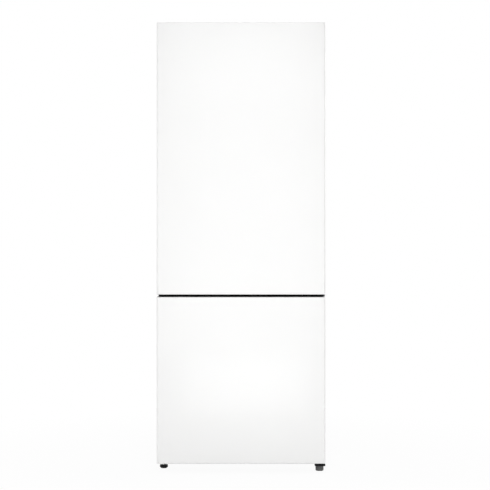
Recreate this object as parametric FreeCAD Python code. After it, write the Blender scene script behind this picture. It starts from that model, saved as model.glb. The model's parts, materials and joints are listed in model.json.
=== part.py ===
# Two-door refrigerator with the freezer compartment below.
# Millimetres, +Z up, doors facing -Y, origin on the floor at the centre of the footprint.
# The cabinet is a steel shell round foam and two moulded liners, each door is a steel pan with end
# caps, foam, an inner liner and a magnetic gasket, and the cooling machinery sits low at the back.

import FreeCAD, Part
import math
import os

# Whole refrigerator
door_width = 635.0
door_thickness = 68.0
door_floor_gap = 32.0
freezer_door_height = 627.0
door_gap = 9.0
fridge_door_height = 1024.0
gasket_gap = 14.0
cabinet_depth = 609.0
cabinet_inset = 1.0
cabinet_floor_gap = 36.0
cabinet_top_drop = 10.0
hinge_cover_rise = 5.0
steel_sheet = 1.0
back_bead_depth = 3.0
seat_gap = 0.3
pin_clearance = 0.05
cut_overrun = 5.0

overall_depth = door_thickness + gasket_gap + cabinet_depth + steel_sheet + back_bead_depth
door_front_y = -overall_depth / 2
door_back_y = door_front_y + door_thickness
cabinet_front_y = door_back_y + gasket_gap
cabinet_back_y = cabinet_front_y + cabinet_depth
door_half = door_width / 2
cabinet_half = door_half - cabinet_inset
freezer_door_z = (door_floor_gap, door_floor_gap + freezer_door_height)
fridge_door_z = (freezer_door_z[1] + door_gap, freezer_door_z[1] + door_gap + fridge_door_height)
gap_middle_z = (freezer_door_z[1] + fridge_door_z[0]) / 2
cabinet_top_z = fridge_door_z[1] - cabinet_top_drop
overall_height = fridge_door_z[1] + hinge_cover_rise

# Hinge line shared by both doors
hinge_from_side = 20.0
hinge_from_front = 45.0
hinge_pin_radius = 4.0
hinge_x = door_half - hinge_from_side
hinge_y = door_front_y + hinge_from_front

# Compartments
fridge_wall = 52.0
freezer_wall = 62.0
top_wall = 50.0
floor_wall = 58.0
back_wall = 55.0
divider_above = 35.5
divider_below = 39.5
panel_front_return = 42.0
liner_sheet = 2.5
liner_lip = 10.0
liner_corner = 14.0
machine_depth = 198.5
machine_height = 237.5
machine_insulation = 50.0
base_sheet = 1.5

fridge_half = cabinet_half - fridge_wall
freezer_half = cabinet_half - freezer_wall
lip_half = cabinet_half - panel_front_return
liner_back_y = cabinet_back_y - back_wall
fridge_floor_z = gap_middle_z + divider_above
fridge_ceiling_z = cabinet_top_z - top_wall
freezer_floor_z = cabinet_floor_gap + floor_wall
freezer_ceiling_z = gap_middle_z - divider_below
machine_front_y = cabinet_back_y - machine_depth
machine_roof_z = cabinet_floor_gap + machine_height
hump_front_y = machine_front_y - machine_insulation
hump_top_z = machine_roof_z + machine_insulation


def vec(x, y, z):
    return FreeCAD.Vector(x, y, z)


x_way = vec(1, 0, 0)
y_way = vec(0, 1, 0)
z_way = vec(0, 0, 1)
same_way = 1e-6
near_share = 0.1
same_place = seat_gap * near_share
full_turn = 360.0
quarter_turn = 90.0


def block(x, y, z):
    """Box between a low and a high limit along each axis."""
    return Part.makeBox(x[1] - x[0], y[1] - y[0], z[1] - z[0], vec(x[0], y[0], z[0]))


def mirror_span(half):
    """Limits that lie evenly each side of the middle."""
    return (-half, half)


def around(middle, width):
    """Limits of a width about a middle."""
    return (middle - width / 2, middle + width / 2)


def grow(span, amount):
    """Limits moved outwards by an amount, or inwards if it is negative."""
    return (span[0] - amount, span[1] + amount)


def flipped(span):
    """Limits mirrored to the other side of the middle."""
    return (-span[1], -span[0])


def from_low(low, length):
    """Limits that start at a place."""
    return (low, low + length)


def to_high(high, length):
    """Limits that end at a place."""
    return (high - length, high)


def share_of(span, share):
    """Place that lies a share of the way between two limits."""
    return span[0] + (span[1] - span[0]) * share


def middle_of(span):
    """Place halfway between two limits."""
    return (span[0] + span[1]) / 2


def rod(radius, x, y, z, way, length):
    """Round bar from a start point along a direction."""
    return Part.makeCylinder(radius, length, vec(x, y, z), way)


def hole(radius, x, y, z, way, length):
    """Round cutter that runs past both ends of what it pierces."""
    return rod(radius, x - way.x * cut_overrun, y - way.y * cut_overrun, z - way.z * cut_overrun, way,
               length + 2 * cut_overrun)


def prism(points, way):
    """Flat outline pushed along a vector."""
    return Part.Face(Part.makePolygon(points + [points[0]])).extrude(way)


def joined(shapes):
    """One shape from shapes that meet."""
    return shapes[0].fuse(shapes[1:]).removeSplitter()


def group(shapes):
    """Separate solids kept together under one name."""
    return Part.makeCompound(shapes)


def less(shape, cutters):
    """Shape with a list of others cut away."""
    return shape.cut(cutters) if cutters else shape


def runs_along(edge, way):
    """True for a straight edge that runs along a direction."""
    if edge.Curve.TypeId != "Part::GeomLine":
        return False
    along = (edge.Vertexes[-1].Point - edge.Vertexes[0].Point).normalize()
    return abs(abs(along.dot(way)) - 1) < same_way


def lies_at(edge, axis, place):
    """True for an edge whose whole length lies at one place along x, y or z."""
    box = edge.BoundBox
    low = {"x": box.XMin, "y": box.YMin, "z": box.ZMin}[axis]
    high = {"x": box.XMax, "y": box.YMax, "z": box.ZMax}[axis]
    return abs(low - place) < same_place and abs(high - place) < same_place


def is_round(edge):
    """True for an edge that is a circle or part of one."""
    return edge.Curve.TypeId == "Part::GeomCircle"


def centred_on(edge, point):
    """True for a round edge whose centre is a point."""
    return is_round(edge) and (edge.Curve.Center - point).Length < same_place


def rounded(shape, radius, chosen):
    """Shape with the edges that a test picks rounded to a radius."""
    return shape.makeFillet(radius, [edge for edge in shape.Edges if chosen(edge)])


def rounded_block(x, y, z, radius, way):
    """Box whose four edges along one direction are rounded."""
    return rounded(block(x, y, z), radius, lambda edge: runs_along(edge, way))


def mirrored(shape):
    """Mirror image in the middle plane."""
    return shape.mirror(vec(0, 0, 0), x_way)


def both_sides(shape):
    """A shape and its mirror image in the middle plane."""
    return [shape, mirrored(shape)]


parts = {}


# Cabinet shell

panel_back_return = 12.0
panel_bend = 3.0
shell_y = (cabinet_front_y, cabinet_back_y)
shell_z = (cabinet_floor_gap, cabinet_top_z)
inner_half = cabinet_half - steel_sheet
back_half = cabinet_half - panel_back_return


def side_panel():
    """Right-hand painted steel side, folded inwards at the front and the back."""
    outer = rounded(
        block((lip_half, cabinet_half), shell_y, shell_z),
        panel_bend,
        lambda edge: runs_along(edge, z_way) and lies_at(edge, "x", cabinet_half),
    )
    inside = rounded(
        block(
            (lip_half - cut_overrun, inner_half),
            grow(shell_y, -steel_sheet),
            grow(shell_z, cut_overrun),
        ),
        panel_bend - steel_sheet,
        lambda edge: runs_along(edge, z_way) and lies_at(edge, "x", inner_half),
    )
    back_trim = block(
        (lip_half - cut_overrun, back_half),
        grow((cabinet_back_y - steel_sheet, cabinet_back_y), cut_overrun),
        grow(shell_z, cut_overrun),
    )
    return less(outer, [inside, back_trim])


right_side = side_panel()
left_side = mirrored(right_side)
sides = [left_side, right_side]


def top_panel():
    """Painted steel top between the sides, folded down at the front and the back."""
    plate = block(mirror_span(inner_half), grow(shell_y, -steel_sheet), to_high(cabinet_top_z, steel_sheet))
    front_fold = block(
        mirror_span(lip_half),
        from_low(cabinet_front_y, steel_sheet),
        (fridge_ceiling_z + liner_lip, cabinet_top_z),
    )
    back_fold = block(
        mirror_span(back_half),
        to_high(cabinet_back_y, steel_sheet),
        to_high(cabinet_top_z, panel_back_return),
    )
    return less(joined([plate, front_fold, back_fold]), sides)


roof = top_panel()

back_panel_margin = 6.0
back_bead_width = 16.0
back_bead_from_edge = 70.0
back_bead_shares = (-0.6, 0.0, 0.6)
back_bead_round_share = 0.9
back_panel_z = (machine_roof_z - panel_back_return, cabinet_top_z - back_panel_margin)


def back_panel():
    """Flat steel back over the sides' folds, stiffened by three pressed upright beads."""
    plate = block(
        mirror_span(cabinet_half - back_panel_margin), from_low(cabinet_back_y, steel_sheet), back_panel_z
    )
    shapes = [plate]
    for share in back_bead_shares:
        outer_y = cabinet_back_y + steel_sheet + back_bead_depth
        bead = block(
            around(share * cabinet_half, back_bead_width),
            (cabinet_back_y, outer_y),
            grow(back_panel_z, -back_bead_from_edge),
        )
        bead_round = back_bead_depth * back_bead_round_share
        shapes.append(rounded(bead, bead_round, lambda edge: lies_at(edge, "y", outer_y)))
    return joined(shapes)


back_sheet = back_panel()

foot_stem_radius = 4.0
foot_nut_radius = 9.0
foot_nut_height = 12.0
left_foot_set_back = 104.0
left_foot_from_side = 21.5
left_foot_x = -door_half + left_foot_from_side
left_foot_y = door_front_y + left_foot_set_back
base_front_y = cabinet_front_y + steel_sheet
left_foot_bore = rod(
    foot_stem_radius + pin_clearance,
    left_foot_x,
    left_foot_y,
    cabinet_floor_gap - cut_overrun,
    z_way,
    foot_nut_height + cut_overrun,
)


def base_pan():
    """Galvanised sheet under the freezer, stepped up over the machinery, with the left foot's nut."""
    wide = mirror_span(inner_half)
    riser_y = to_high(machine_front_y, base_sheet)
    floor = block(wide, (base_front_y, machine_front_y), from_low(cabinet_floor_gap, base_sheet))
    riser = block(wide, riser_y, (cabinet_floor_gap, machine_roof_z + base_sheet))
    ceiling_z = from_low(machine_roof_z, base_sheet)
    ceiling = block(wide, (riser_y[0], cabinet_back_y - steel_sheet), ceiling_z)
    tail = block(mirror_span(back_half), to_high(cabinet_back_y, steel_sheet), ceiling_z)
    nut = rod(foot_nut_radius, left_foot_x, left_foot_y, cabinet_floor_gap, z_way, foot_nut_height)
    return less(joined([floor, riser, ceiling, tail, nut]), sides + [left_foot_bore])


base_shell = base_pan()

rail_flange = 24.0
rail_z = (cabinet_floor_gap, freezer_floor_z - liner_lip)
divider_rail_z = (freezer_ceiling_z + liner_lip, fridge_floor_z - liner_lip)


def front_rails():
    """Folded steel rails across the front: one below the freezer and one between the compartments."""
    wide = mirror_span(lip_half)
    low_web = block(wide, from_low(cabinet_front_y, steel_sheet), rail_z)
    low_fold = block(wide, from_low(cabinet_front_y, rail_flange), to_high(rail_z[1], steel_sheet))
    web = block(wide, from_low(cabinet_front_y, steel_sheet), divider_rail_z)
    under = block(wide, from_low(cabinet_front_y, rail_flange), from_low(divider_rail_z[0], steel_sheet))
    over = block(wide, from_low(cabinet_front_y, rail_flange), to_high(divider_rail_z[1], steel_sheet))
    return [joined([low_web, low_fold]), joined([web, under, over])]


rails = front_rails()


# Hinges, all on the right

hinge_plate = 4.0
hinge_arm_half = 11.5
top_plate = 3.0
top_plate_width = 62.0
top_plate_length = 74.0
top_pin_length = 22.0
middle_plate_width = 58.0
middle_flange_height = 15.0
middle_flange_sheet = 3.0
flange_from_side = 5.0
middle_tab_width = 27.0
middle_pin_reach = 15.0
bottom_plate_drop = 2.5
bottom_plate_width = 40.0
bottom_plate_from_front = 8.0
bottom_lip_height = 7.5
bottom_lip_sheet = 3.2
bottom_lip_corner = 2.5
bottom_flange_rise = 24.0
bottom_pin_reach = 16.0
foot_boss_radius = 9.0
foot_boss_height = 6.0
foot_pocket_depth = 2.0
washer_radius = 7.5
screw_head_radius = 4.5
screw_head_height = 2.4
screw_shank_radius = 2.0
screw_shank_length = 14.0
screws = []


def screw(x, y, z, way):
    """Pan-head screw whose head rests on a face at a point, its shank running along a direction."""
    head_start = vec(x, y, z) - way * screw_head_height
    head = Part.makeCylinder(screw_head_radius, screw_head_height, head_start, way)
    head = rounded(head, screw_head_height / 2, lambda edge: centred_on(edge, head_start))
    shank = Part.makeCylinder(screw_shank_radius, screw_shank_length, vec(x, y, z), way)
    shape = joined([head, shank])
    screws.append(shape)
    return shape


top_plate_z = from_low(cabinet_top_z, top_plate)
top_plate_x = to_high(hinge_x + hinge_arm_half, top_plate_width)
top_plate_y = from_low(cabinet_front_y + panel_bend, top_plate_length)
top_pin_bottom_z = top_plate_z[1] - top_pin_length


def top_hinge():
    """Steel plate on the cabinet top with an arm forward over the door and a pin down into it."""
    plate = rounded_block(top_plate_x, top_plate_y, top_plate_z, hinge_arm_half / 2, z_way)
    arm_y = (hinge_y, top_plate_y[0] + hinge_arm_half)
    arm = block(around(hinge_x, 2 * hinge_arm_half), arm_y, top_plate_z)
    nose = rod(hinge_arm_half, hinge_x, hinge_y, top_plate_z[0], z_way, top_plate)
    pin = rod(hinge_pin_radius, hinge_x, hinge_y, top_pin_bottom_z, z_way, top_pin_length)
    return joined([plate, arm, nose, pin])


top_screw_shares = ((0.2, 0.3), (0.2, 0.8), (0.8, 0.8))
top_screws = [
    screw(share_of(top_plate_x, across), share_of(top_plate_y, along), top_plate_z[1], z_way * -1)
    for across, along in top_screw_shares
]
top_hinge_shape = less(top_hinge(), top_screws)

middle_plate_z = around(gap_middle_z, hinge_plate)
middle_plate_x = to_high(door_half, middle_plate_width)
middle_plate_front_y = hinge_y - hinge_arm_half
middle_tab_x = to_high(middle_plate_x[0], middle_tab_width)


def middle_hinge():
    """Steel plate in the gap between the doors with a flange on the cabinet and a pin each way."""
    plate = rounded(
        block(middle_plate_x, (middle_plate_front_y, cabinet_front_y), middle_plate_z),
        hinge_arm_half / 2,
        lambda edge: runs_along(edge, z_way) and lies_at(edge, "y", middle_plate_front_y),
    )
    flange = block(
        (middle_tab_x[0], cabinet_half - flange_from_side),
        to_high(cabinet_front_y, middle_flange_sheet),
        around(gap_middle_z, middle_flange_height),
    )
    reach = hinge_plate + 2 * middle_pin_reach
    pin = rod(hinge_pin_radius, hinge_x, hinge_y, gap_middle_z - reach / 2, z_way, reach)
    return joined([plate, flange, pin])


middle_screw_shares = (0.25, 0.7)
middle_screws = [
    screw(share_of(middle_tab_x, share), cabinet_front_y - middle_flange_sheet, gap_middle_z, y_way)
    for share in middle_screw_shares
]
bottom_plate_z = to_high(freezer_door_z[0] - bottom_plate_drop, hinge_plate)
bottom_plate_x = to_high(door_half, bottom_plate_width)
bottom_plate_y = (door_front_y + bottom_plate_from_front, cabinet_front_y)
bottom_flange_z = (bottom_plate_z[0], cabinet_floor_gap + bottom_flange_rise)
foot_pocket_z = bottom_plate_z[0] + foot_pocket_depth


def bottom_hinge():
    """Steel angle under the freezer door, its front edge turned down, with a pin and a foot boss."""
    plate = block(bottom_plate_x, bottom_plate_y, bottom_plate_z)
    lip_y = from_low(bottom_plate_y[0], bottom_lip_sheet)
    lip_z = to_high(bottom_plate_z[1], bottom_lip_height)
    lip = rounded(
        block(bottom_plate_x, lip_y, lip_z),
        bottom_lip_corner,
        lambda edge: runs_along(edge, y_way) and lies_at(edge, "z", lip_z[0]),
    )
    flange_x = (bottom_plate_x[0], cabinet_half - flange_from_side)
    flange = block(flange_x, to_high(cabinet_front_y, middle_flange_sheet), bottom_flange_z)
    pin_length = bottom_plate_drop + bottom_pin_reach
    pin = rod(hinge_pin_radius, hinge_x, hinge_y, bottom_plate_z[1], z_way, pin_length)
    boss_z = bottom_plate_z[0] - foot_boss_height
    boss = rod(foot_boss_radius, hinge_x, hinge_y, boss_z, z_way, foot_boss_height)
    bore = rod(
        foot_stem_radius + pin_clearance,
        hinge_x,
        hinge_y,
        boss_z - cut_overrun,
        z_way,
        foot_boss_height + cut_overrun + foot_pocket_depth,
    )
    return less(joined([plate, lip, flange, pin, boss]), [bore])


bottom_screw_shares = (0.22, 0.78)
bottom_screw_rise_share = 0.66
bottom_screws = [
    screw(
        share_of((bottom_plate_x[0], cabinet_half - flange_from_side), share),
        cabinet_front_y - middle_flange_sheet,
        share_of(bottom_flange_z, bottom_screw_rise_share),
        y_way,
    )
    for share in bottom_screw_shares
]
bottom_hinge_shape = less(bottom_hinge(), bottom_screws)
middle_hinge_shape = less(middle_hinge(), middle_screws)


def washer(low, high):
    """Plastic bearing washer round a hinge pin."""
    length = high - low - seat_gap
    ring = rod(washer_radius, hinge_x, hinge_y, low, z_way, length)
    return ring.cut(hole(hinge_pin_radius + pin_clearance, hinge_x, hinge_y, low, z_way, length))


washers = [washer(middle_plate_z[1], fridge_door_z[0]), washer(bottom_plate_z[1], freezer_door_z[0])]

trim_height = 16.0
trim_sheet = 1.5
trim_from_side = 2.5
trim_end_share = 0.2


def divider_trim():
    """Dark strip over the rail between the doors, cut short at the middle hinge."""
    z = around(gap_middle_z, trim_height)
    x = (-cabinet_half + trim_from_side, middle_tab_x[0] - seat_gap)
    strip = block(x, to_high(cabinet_front_y, trim_sheet), z)
    return rounded(
        strip,
        trim_height * trim_end_share,
        lambda edge: runs_along(edge, y_way) and lies_at(edge, "x", x[0]),
    )


cover_sheet = 2.0
cover_margin = 5.0
cover_nose_half = 14.0
cover_corner = 6.0
cover_z = (cabinet_top_z, overall_height)
cover_nose_lift = 1.0


def hinge_nose(half, back_y, z):
    """Straight piece over the hinge arm with a round end about the pin."""
    end = rod(half, hinge_x, hinge_y, z[0], z_way, z[1] - z[0])
    return joined([end, block(around(hinge_x, 2 * half), (hinge_y, back_y), z)])


def hinge_cover():
    """Moulded cover over the top hinge, screws and wires, with a nose over the arm."""
    body_x = (top_plate_x[0] - cover_margin, cabinet_half - cabinet_inset)
    body_y = (cabinet_front_y + steel_sheet, top_plate_y[1] + cover_margin)
    body = rounded_block(body_x, body_y, cover_z, cover_corner, z_way)
    hollow = rounded_block(
        grow(body_x, -cover_sheet),
        grow(body_y, -cover_sheet),
        (cover_z[0] - cut_overrun, cover_z[1] - cover_sheet),
        cover_corner - cover_sheet,
        z_way,
    )
    nose_low = top_plate_z[1] + cover_nose_lift
    nose = hinge_nose(cover_nose_half, body_y[0] + cover_sheet, (nose_low, cover_z[1]))
    nose_hollow = hinge_nose(
        cover_nose_half - cover_sheet,
        body_y[0] + 2 * cover_sheet,
        (nose_low - cut_overrun, cover_z[1] - cover_sheet),
    )
    return less(joined([body, nose]), [hollow, nose_hollow])


# Liners

rib_proud = 9.0
rib_height = 9.0
shelf_glass = 4.0
shelf_set_back = 105.0
shelf_height_shares = (0.42, 0.62, 0.82)
shelf_side_gap = 1.0
shelf_front_y = cabinet_front_y + shelf_set_back
crisper_height = 190.0
crisper_lid_gap = 8.0
crisper_guide_proud = 26.0
crisper_guide_height = 60.0
duct_depth = 48.0
duct_width = 400.0
duct_hole_width = 90.0
duct_hole_depth = 34.0
duct_hole_from_back = 8.0
duct_front_y = liner_back_y - duct_depth
duct_hole_y = to_high(liner_back_y - duct_hole_from_back, duct_hole_depth)
duct_hole_z = grow((freezer_ceiling_z, fridge_floor_z), liner_sheet + cut_overrun)
duct_hole = block(mirror_span(duct_hole_width / 2), duct_hole_y, duct_hole_z)
fridge_z = (fridge_floor_z, fridge_ceiling_z)
crisper_lid_z = fridge_floor_z + crisper_height + crisper_lid_gap
shelf_levels = [crisper_lid_z] + [share_of(fridge_z, share) for share in shelf_height_shares]
freezer_drawer_side_clear = 22.5
freezer_drawer_half = freezer_half - freezer_drawer_side_clear
freezer_shelf_levels = (hump_top_z + liner_sheet, middle_of((hump_top_z, freezer_ceiling_z)))
freezer_set_back = 20.0
freezer_shelf_behind = 6.0
freezer_shelf_front_y = cabinet_front_y + freezer_set_back + freezer_shelf_behind
evaporator_bay = 64.0
evaporator_cover_y = liner_back_y - evaporator_bay


def tub(x, y, z, corner):
    """Rounded box that is square-edged at its front."""
    return rounded(block(x, y, z), corner, lambda edge: not lies_at(edge, "y", y[0]))


def wall_rib(half, y, top_z, proud, height):
    """Moulded ledge along one side wall with its upper face at a level."""
    return block((half - proud, half + liner_sheet / 2), y, to_high(top_z, height))


fridge_space = tub(
    mirror_span(fridge_half), (cabinet_front_y - cut_overrun, liner_back_y), fridge_z, liner_corner
)
fridge_mass = tub(
    mirror_span(fridge_half + liner_sheet),
    (cabinet_front_y, liner_back_y + liner_sheet),
    grow(fridge_z, liner_sheet),
    liner_corner + liner_sheet,
)


def fridge_liner():
    """Moulded inner wall of the fridge compartment with ledges for the shelves and crisper guides."""
    lip_z = (fridge_z[0] - liner_lip, fridge_z[1] + liner_lip)
    lip = block(mirror_span(lip_half), from_low(cabinet_front_y, liner_sheet), lip_z)
    shell = joined([fridge_mass, lip]).cut(fridge_space)
    ledges = []
    for level in shelf_levels:
        rib = wall_rib(fridge_half, (shelf_front_y, liner_back_y), level, rib_proud, rib_height)
        ledges += both_sides(rib)
    guide = wall_rib(
        fridge_half,
        (shelf_front_y, liner_back_y),
        fridge_floor_z + crisper_guide_height,
        crisper_guide_proud,
        crisper_guide_height + liner_sheet / 2,
    )
    ledges += both_sides(guide)
    return less(joined([shell] + ledges), [duct_hole] + rails + sides + [roof])


def freezer_profile(amount, front_y):
    """Side view of the freezer compartment, grown outwards by an amount."""
    half = freezer_half + amount
    low = freezer_floor_z - amount
    high = freezer_ceiling_z + amount
    back = liner_back_y + amount
    points = [
        vec(-half, front_y, low),
        vec(-half, hump_front_y + amount, low),
        vec(-half, hump_front_y + amount, hump_top_z - amount),
        vec(-half, back, hump_top_z - amount),
        vec(-half, back, high),
        vec(-half, front_y, high),
    ]
    solid = prism(points, x_way * (2 * half))
    return rounded(
        solid,
        liner_corner + amount,
        lambda edge: runs_along(edge, y_way) and not lies_at(edge, "z", hump_top_z - amount),
    )


freezer_space = freezer_profile(0, cabinet_front_y - cut_overrun)
freezer_mass = freezer_profile(liner_sheet, cabinet_front_y)


def freezer_liner():
    """Moulded inner wall of the freezer with a hump over the machinery and ledges for two shelves."""
    lip_z = (freezer_floor_z - liner_lip, freezer_ceiling_z + liner_lip)
    lip = block(mirror_span(lip_half), from_low(cabinet_front_y, liner_sheet), lip_z)
    shell = joined([freezer_mass, lip]).cut(freezer_space)
    ledges = []
    for level in freezer_shelf_levels:
        rib_y = (freezer_shelf_front_y, evaporator_cover_y - seat_gap)
        ledges += both_sides(wall_rib(freezer_half, rib_y, level, rib_proud, rib_height))
    return less(joined([shell] + ledges), [duct_hole] + rails + sides)


fridge_inner = fridge_liner()
freezer_inner = freezer_liner()


# Shelves

trim_front_depth = 16.0
trim_front_height = 11.0
trim_front_round = 3.6
trim_back_depth = 8.0
trim_back_seat = 12.0
trim_back_height = 16.0
freezer_glass_gap = 1.0


def glass_shelves():
    """Toughened glass plates: the crisper lid, three fridge shelves and two freezer shelves."""
    plates = []
    for level in shelf_levels:
        x = mirror_span(fridge_half - shelf_side_gap)
        y = (shelf_front_y + trim_front_depth / 2, duct_front_y - trim_back_depth)
        plates.append(block(x, y, from_low(level, shelf_glass)))
    for level in freezer_shelf_levels:
        x = mirror_span(freezer_half - shelf_side_gap)
        y = (freezer_shelf_front_y, evaporator_cover_y - freezer_glass_gap)
        plates.append(block(x, y, from_low(level, shelf_glass)))
    return plates


glass = glass_shelves()


def shelf_trims():
    """Moulded front rails and raised back stops on the four fridge shelves."""
    rails_made = []
    for level in shelf_levels:
        x = mirror_span(fridge_half - rib_proud - shelf_side_gap)
        front_z = around(level + shelf_glass / 2, trim_front_height)
        front = rounded(
            block(x, from_low(shelf_front_y, trim_front_depth), front_z),
            trim_front_round,
            lambda edge: runs_along(edge, x_way) and lies_at(edge, "y", shelf_front_y),
        )
        back = block(
            x,
            to_high(duct_front_y - seat_gap, trim_back_seat),
            (level - trim_back_depth / 2, level + trim_back_height),
        )
        rails_made += [front.cut(glass), back.cut(glass)]
    return rails_made


# Crispers and freezer drawers, all open-topped tubs with a lip

drawer_wall = 2.5
drawer_corner = 10.0
drawer_lip = 8.0
drawer_front_extra = 3.0
crisper_gap = 8.0
crisper_side_clear = 4.5
crisper_half = fridge_half - crisper_guide_proud - crisper_side_clear
crisper_set_back = 102.0
crisper_back_clear = 32.0
drawer_grip_height = 26.0
drawer_grip_depth = 12.0
drawer_grip_share = 0.5


def drawer(x, y, z):
    """Open tub with a thicker front panel and a pull lip along its top."""
    body = rounded_block(x, y, z, drawer_corner, z_way)
    hollow = rounded_block(
        grow(x, -drawer_wall),
        (y[0] + drawer_wall + drawer_front_extra, y[1] - drawer_wall),
        (z[0] + drawer_wall, z[1] + cut_overrun),
        drawer_corner - drawer_wall,
        z_way,
    )
    middle = share_of(x, drawer_grip_share)
    grip_x = around(middle, (x[1] - x[0]) * drawer_grip_share)
    grip_z = to_high(z[1] - drawer_lip, drawer_grip_height)
    hood_y = (y[0] + drawer_wall, y[0] + drawer_grip_depth + drawer_wall)
    hood = block(grow(grip_x, drawer_wall), hood_y, grow(grip_z, drawer_wall))
    pocket = block(grip_x, (y[0] - cut_overrun, y[0] + drawer_grip_depth), grip_z)
    return less(joined([body.cut(hollow), hood]), [pocket])


crisper_y = (cabinet_front_y + crisper_set_back, duct_front_y - crisper_back_clear)
crisper_z = from_low(fridge_floor_z + seat_gap, crisper_height)
crisper_x = (crisper_gap / 2, crisper_half)
freezer_drawer_clear = 8.0
freezer_drawer_x = mirror_span(freezer_drawer_half)
freezer_drawer_front_y = cabinet_front_y + freezer_set_back
bottom_drawer_back_y = hump_front_y - freezer_drawer_clear
deep_drawer_back_y = evaporator_cover_y - freezer_drawer_clear
freezer_drawer_floors = [freezer_floor_z + seat_gap] + [
    level + shelf_glass + seat_gap for level in freezer_shelf_levels
]
freezer_drawer_tops = [level - freezer_drawer_clear for level in freezer_shelf_levels] + [
    freezer_ceiling_z - freezer_drawer_clear
]
freezer_drawer_backs = [bottom_drawer_back_y, deep_drawer_back_y, deep_drawer_back_y]


# Doors

door_sheet = 1.0
door_bend = 4.0
door_side_bend = 7.0
door_lip = 7.0
door_back_return = 10.0
cap_depth = 22.0
cap_wall = 2.5
cap_boss_radius = 11.0
cap_boss_height = 36.0
recess_extra = 2.0
recess_front = 28.0
recess_drop = 1.5
grip_length = 160.0
grip_width = 34.0
grip_depth = 28.0
grip_from_front = 22.0
grip_from_edge = 14.0
door_inner_half = door_half - door_sheet
door_y = (door_front_y, door_back_y)


def bent_block(half, y, z, inset):
    """Block whose front is rounded along its two ends and, more, down its two sides."""
    whole = block(mirror_span(half), y, z)
    ends = rounded(
        whole, door_bend - inset, lambda edge: lies_at(edge, "y", y[0]) and runs_along(edge, x_way)
    )
    sides = rounded(
        whole, door_side_bend - inset, lambda edge: lies_at(edge, "y", y[0]) and runs_along(edge, z_way)
    )
    return ends.common(sides)


def door_room(z):
    """Space that a door's skin leaves for its caps and foam."""
    inside_y = (door_front_y + door_sheet, door_back_y - door_sheet)
    inside = bent_block(door_inner_half, inside_y, grow(z, -door_sheet), door_sheet)
    ends = block(mirror_span(door_inner_half), (door_front_y + door_lip, door_back_y), z)
    return joined([inside, ends])


def door_skin(z):
    """Painted steel pan with a rounded front edge, folded back at the sides and over both ends."""
    whole = bent_block(door_half, door_y, z, 0)
    back = to_high(door_back_y, door_sheet)
    back_fold = block(mirror_span(door_half), back, z).cut(
        block(mirror_span(door_half - door_back_return), grow(back, cut_overrun), grow(z, cut_overrun))
    )
    return joined([whole.cut(door_room(z)), back_fold])


def grip_box(z, extra):
    """Space of the side grip pocket, grown by a wall, open to the left."""
    x = (-door_half - cut_overrun, -door_half + grip_depth + extra)
    y = grow(from_low(door_front_y + grip_from_front, grip_width), extra)
    return block(x, y, grow(z, extra))


def hinge_boss(low, height):
    """Solid round the hinge pin."""
    return rod(cap_boss_radius, hinge_x, hinge_y, low, z_way, height)


def pin_bore(low, high):
    """Hole for a hinge pin with its running clearance."""
    return rod(hinge_pin_radius + pin_clearance, hinge_x, hinge_y, low, z_way, high - low)


def end_cap(z, at_top, skin):
    """Moulded end cap: a plate with a wall down inside the skin and a boss round the hinge pin."""
    plate_z = to_high(z[1], cap_wall) if at_top else from_low(z[0], cap_wall)
    wall_z = to_high(z[1], cap_depth) if at_top else from_low(z[0], cap_depth)
    boss_z = z[1] - cap_boss_height if at_top else z[0]
    x = mirror_span(door_inner_half)
    y = (door_front_y + door_sheet, door_back_y)
    plate = block(x, y, plate_z)
    rim = block(x, y, wall_z).cut(
        block(grow(x, -cap_wall), grow(y, -cap_wall), grow(wall_z, cut_overrun))
    )
    return joined([plate, rim, hinge_boss(boss_z, cap_boss_height)]).common(door_room(z)).cut(skin)


def door_shell(z, grip_z, recess):
    """Skin, both caps and the foam's cutters of one door, with the side grip at one end."""
    skin = door_skin(z)
    grip_outer = grip_box(grip_z, cap_wall)
    skin = less(skin, [grip_outer] + recess)
    top = end_cap(z, True, skin)
    bottom = end_cap(z, False, skin)
    return skin, top, bottom


bore_reach = 2.0
fridge_grip_z = from_low(fridge_door_z[0] + grip_from_edge, grip_length)
freezer_grip_z = to_high(freezer_door_z[1] - grip_from_edge, grip_length)
recess_z = (cabinet_top_z - recess_drop, fridge_door_z[1])
recess_x = (hinge_x - cover_nose_half - recess_extra, door_half)
recess_y = (hinge_y - recess_front, door_back_y)
recess_block = block(
    (recess_x[0], recess_x[1] + cut_overrun),
    (recess_y[0], recess_y[1] + cut_overrun),
    (recess_z[0], recess_z[1] + cut_overrun),
)
recess_lining = block(
    (recess_x[0] - cap_wall, door_inner_half),
    (recess_y[0] - cap_wall, door_back_y),
    (recess_z[0] - cap_wall, fridge_door_z[1]),
)


def grip_shell(grip_z, cap, skin):
    """Side grip pocket joined to its end cap."""
    outer = grip_box(grip_z, cap_wall).common(
        block(mirror_span(door_half), door_y, grow(grip_z, 2 * grip_from_edge))
    )
    neck_z = (min(cap.BoundBox.ZMin, grip_z[0]), max(cap.BoundBox.ZMax, grip_z[1]))
    neck = block(
        from_low(-door_inner_half, grip_depth),
        grow(from_low(door_front_y + grip_from_front, grip_width), cap_wall),
        (max(neck_z[0], grip_z[0] - grip_from_edge), min(neck_z[1], grip_z[1] + grip_from_edge)),
    )
    return joined([cap, outer, neck.cut(skin)]).cut(grip_box(grip_z, 0)).cut(skin)


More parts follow.
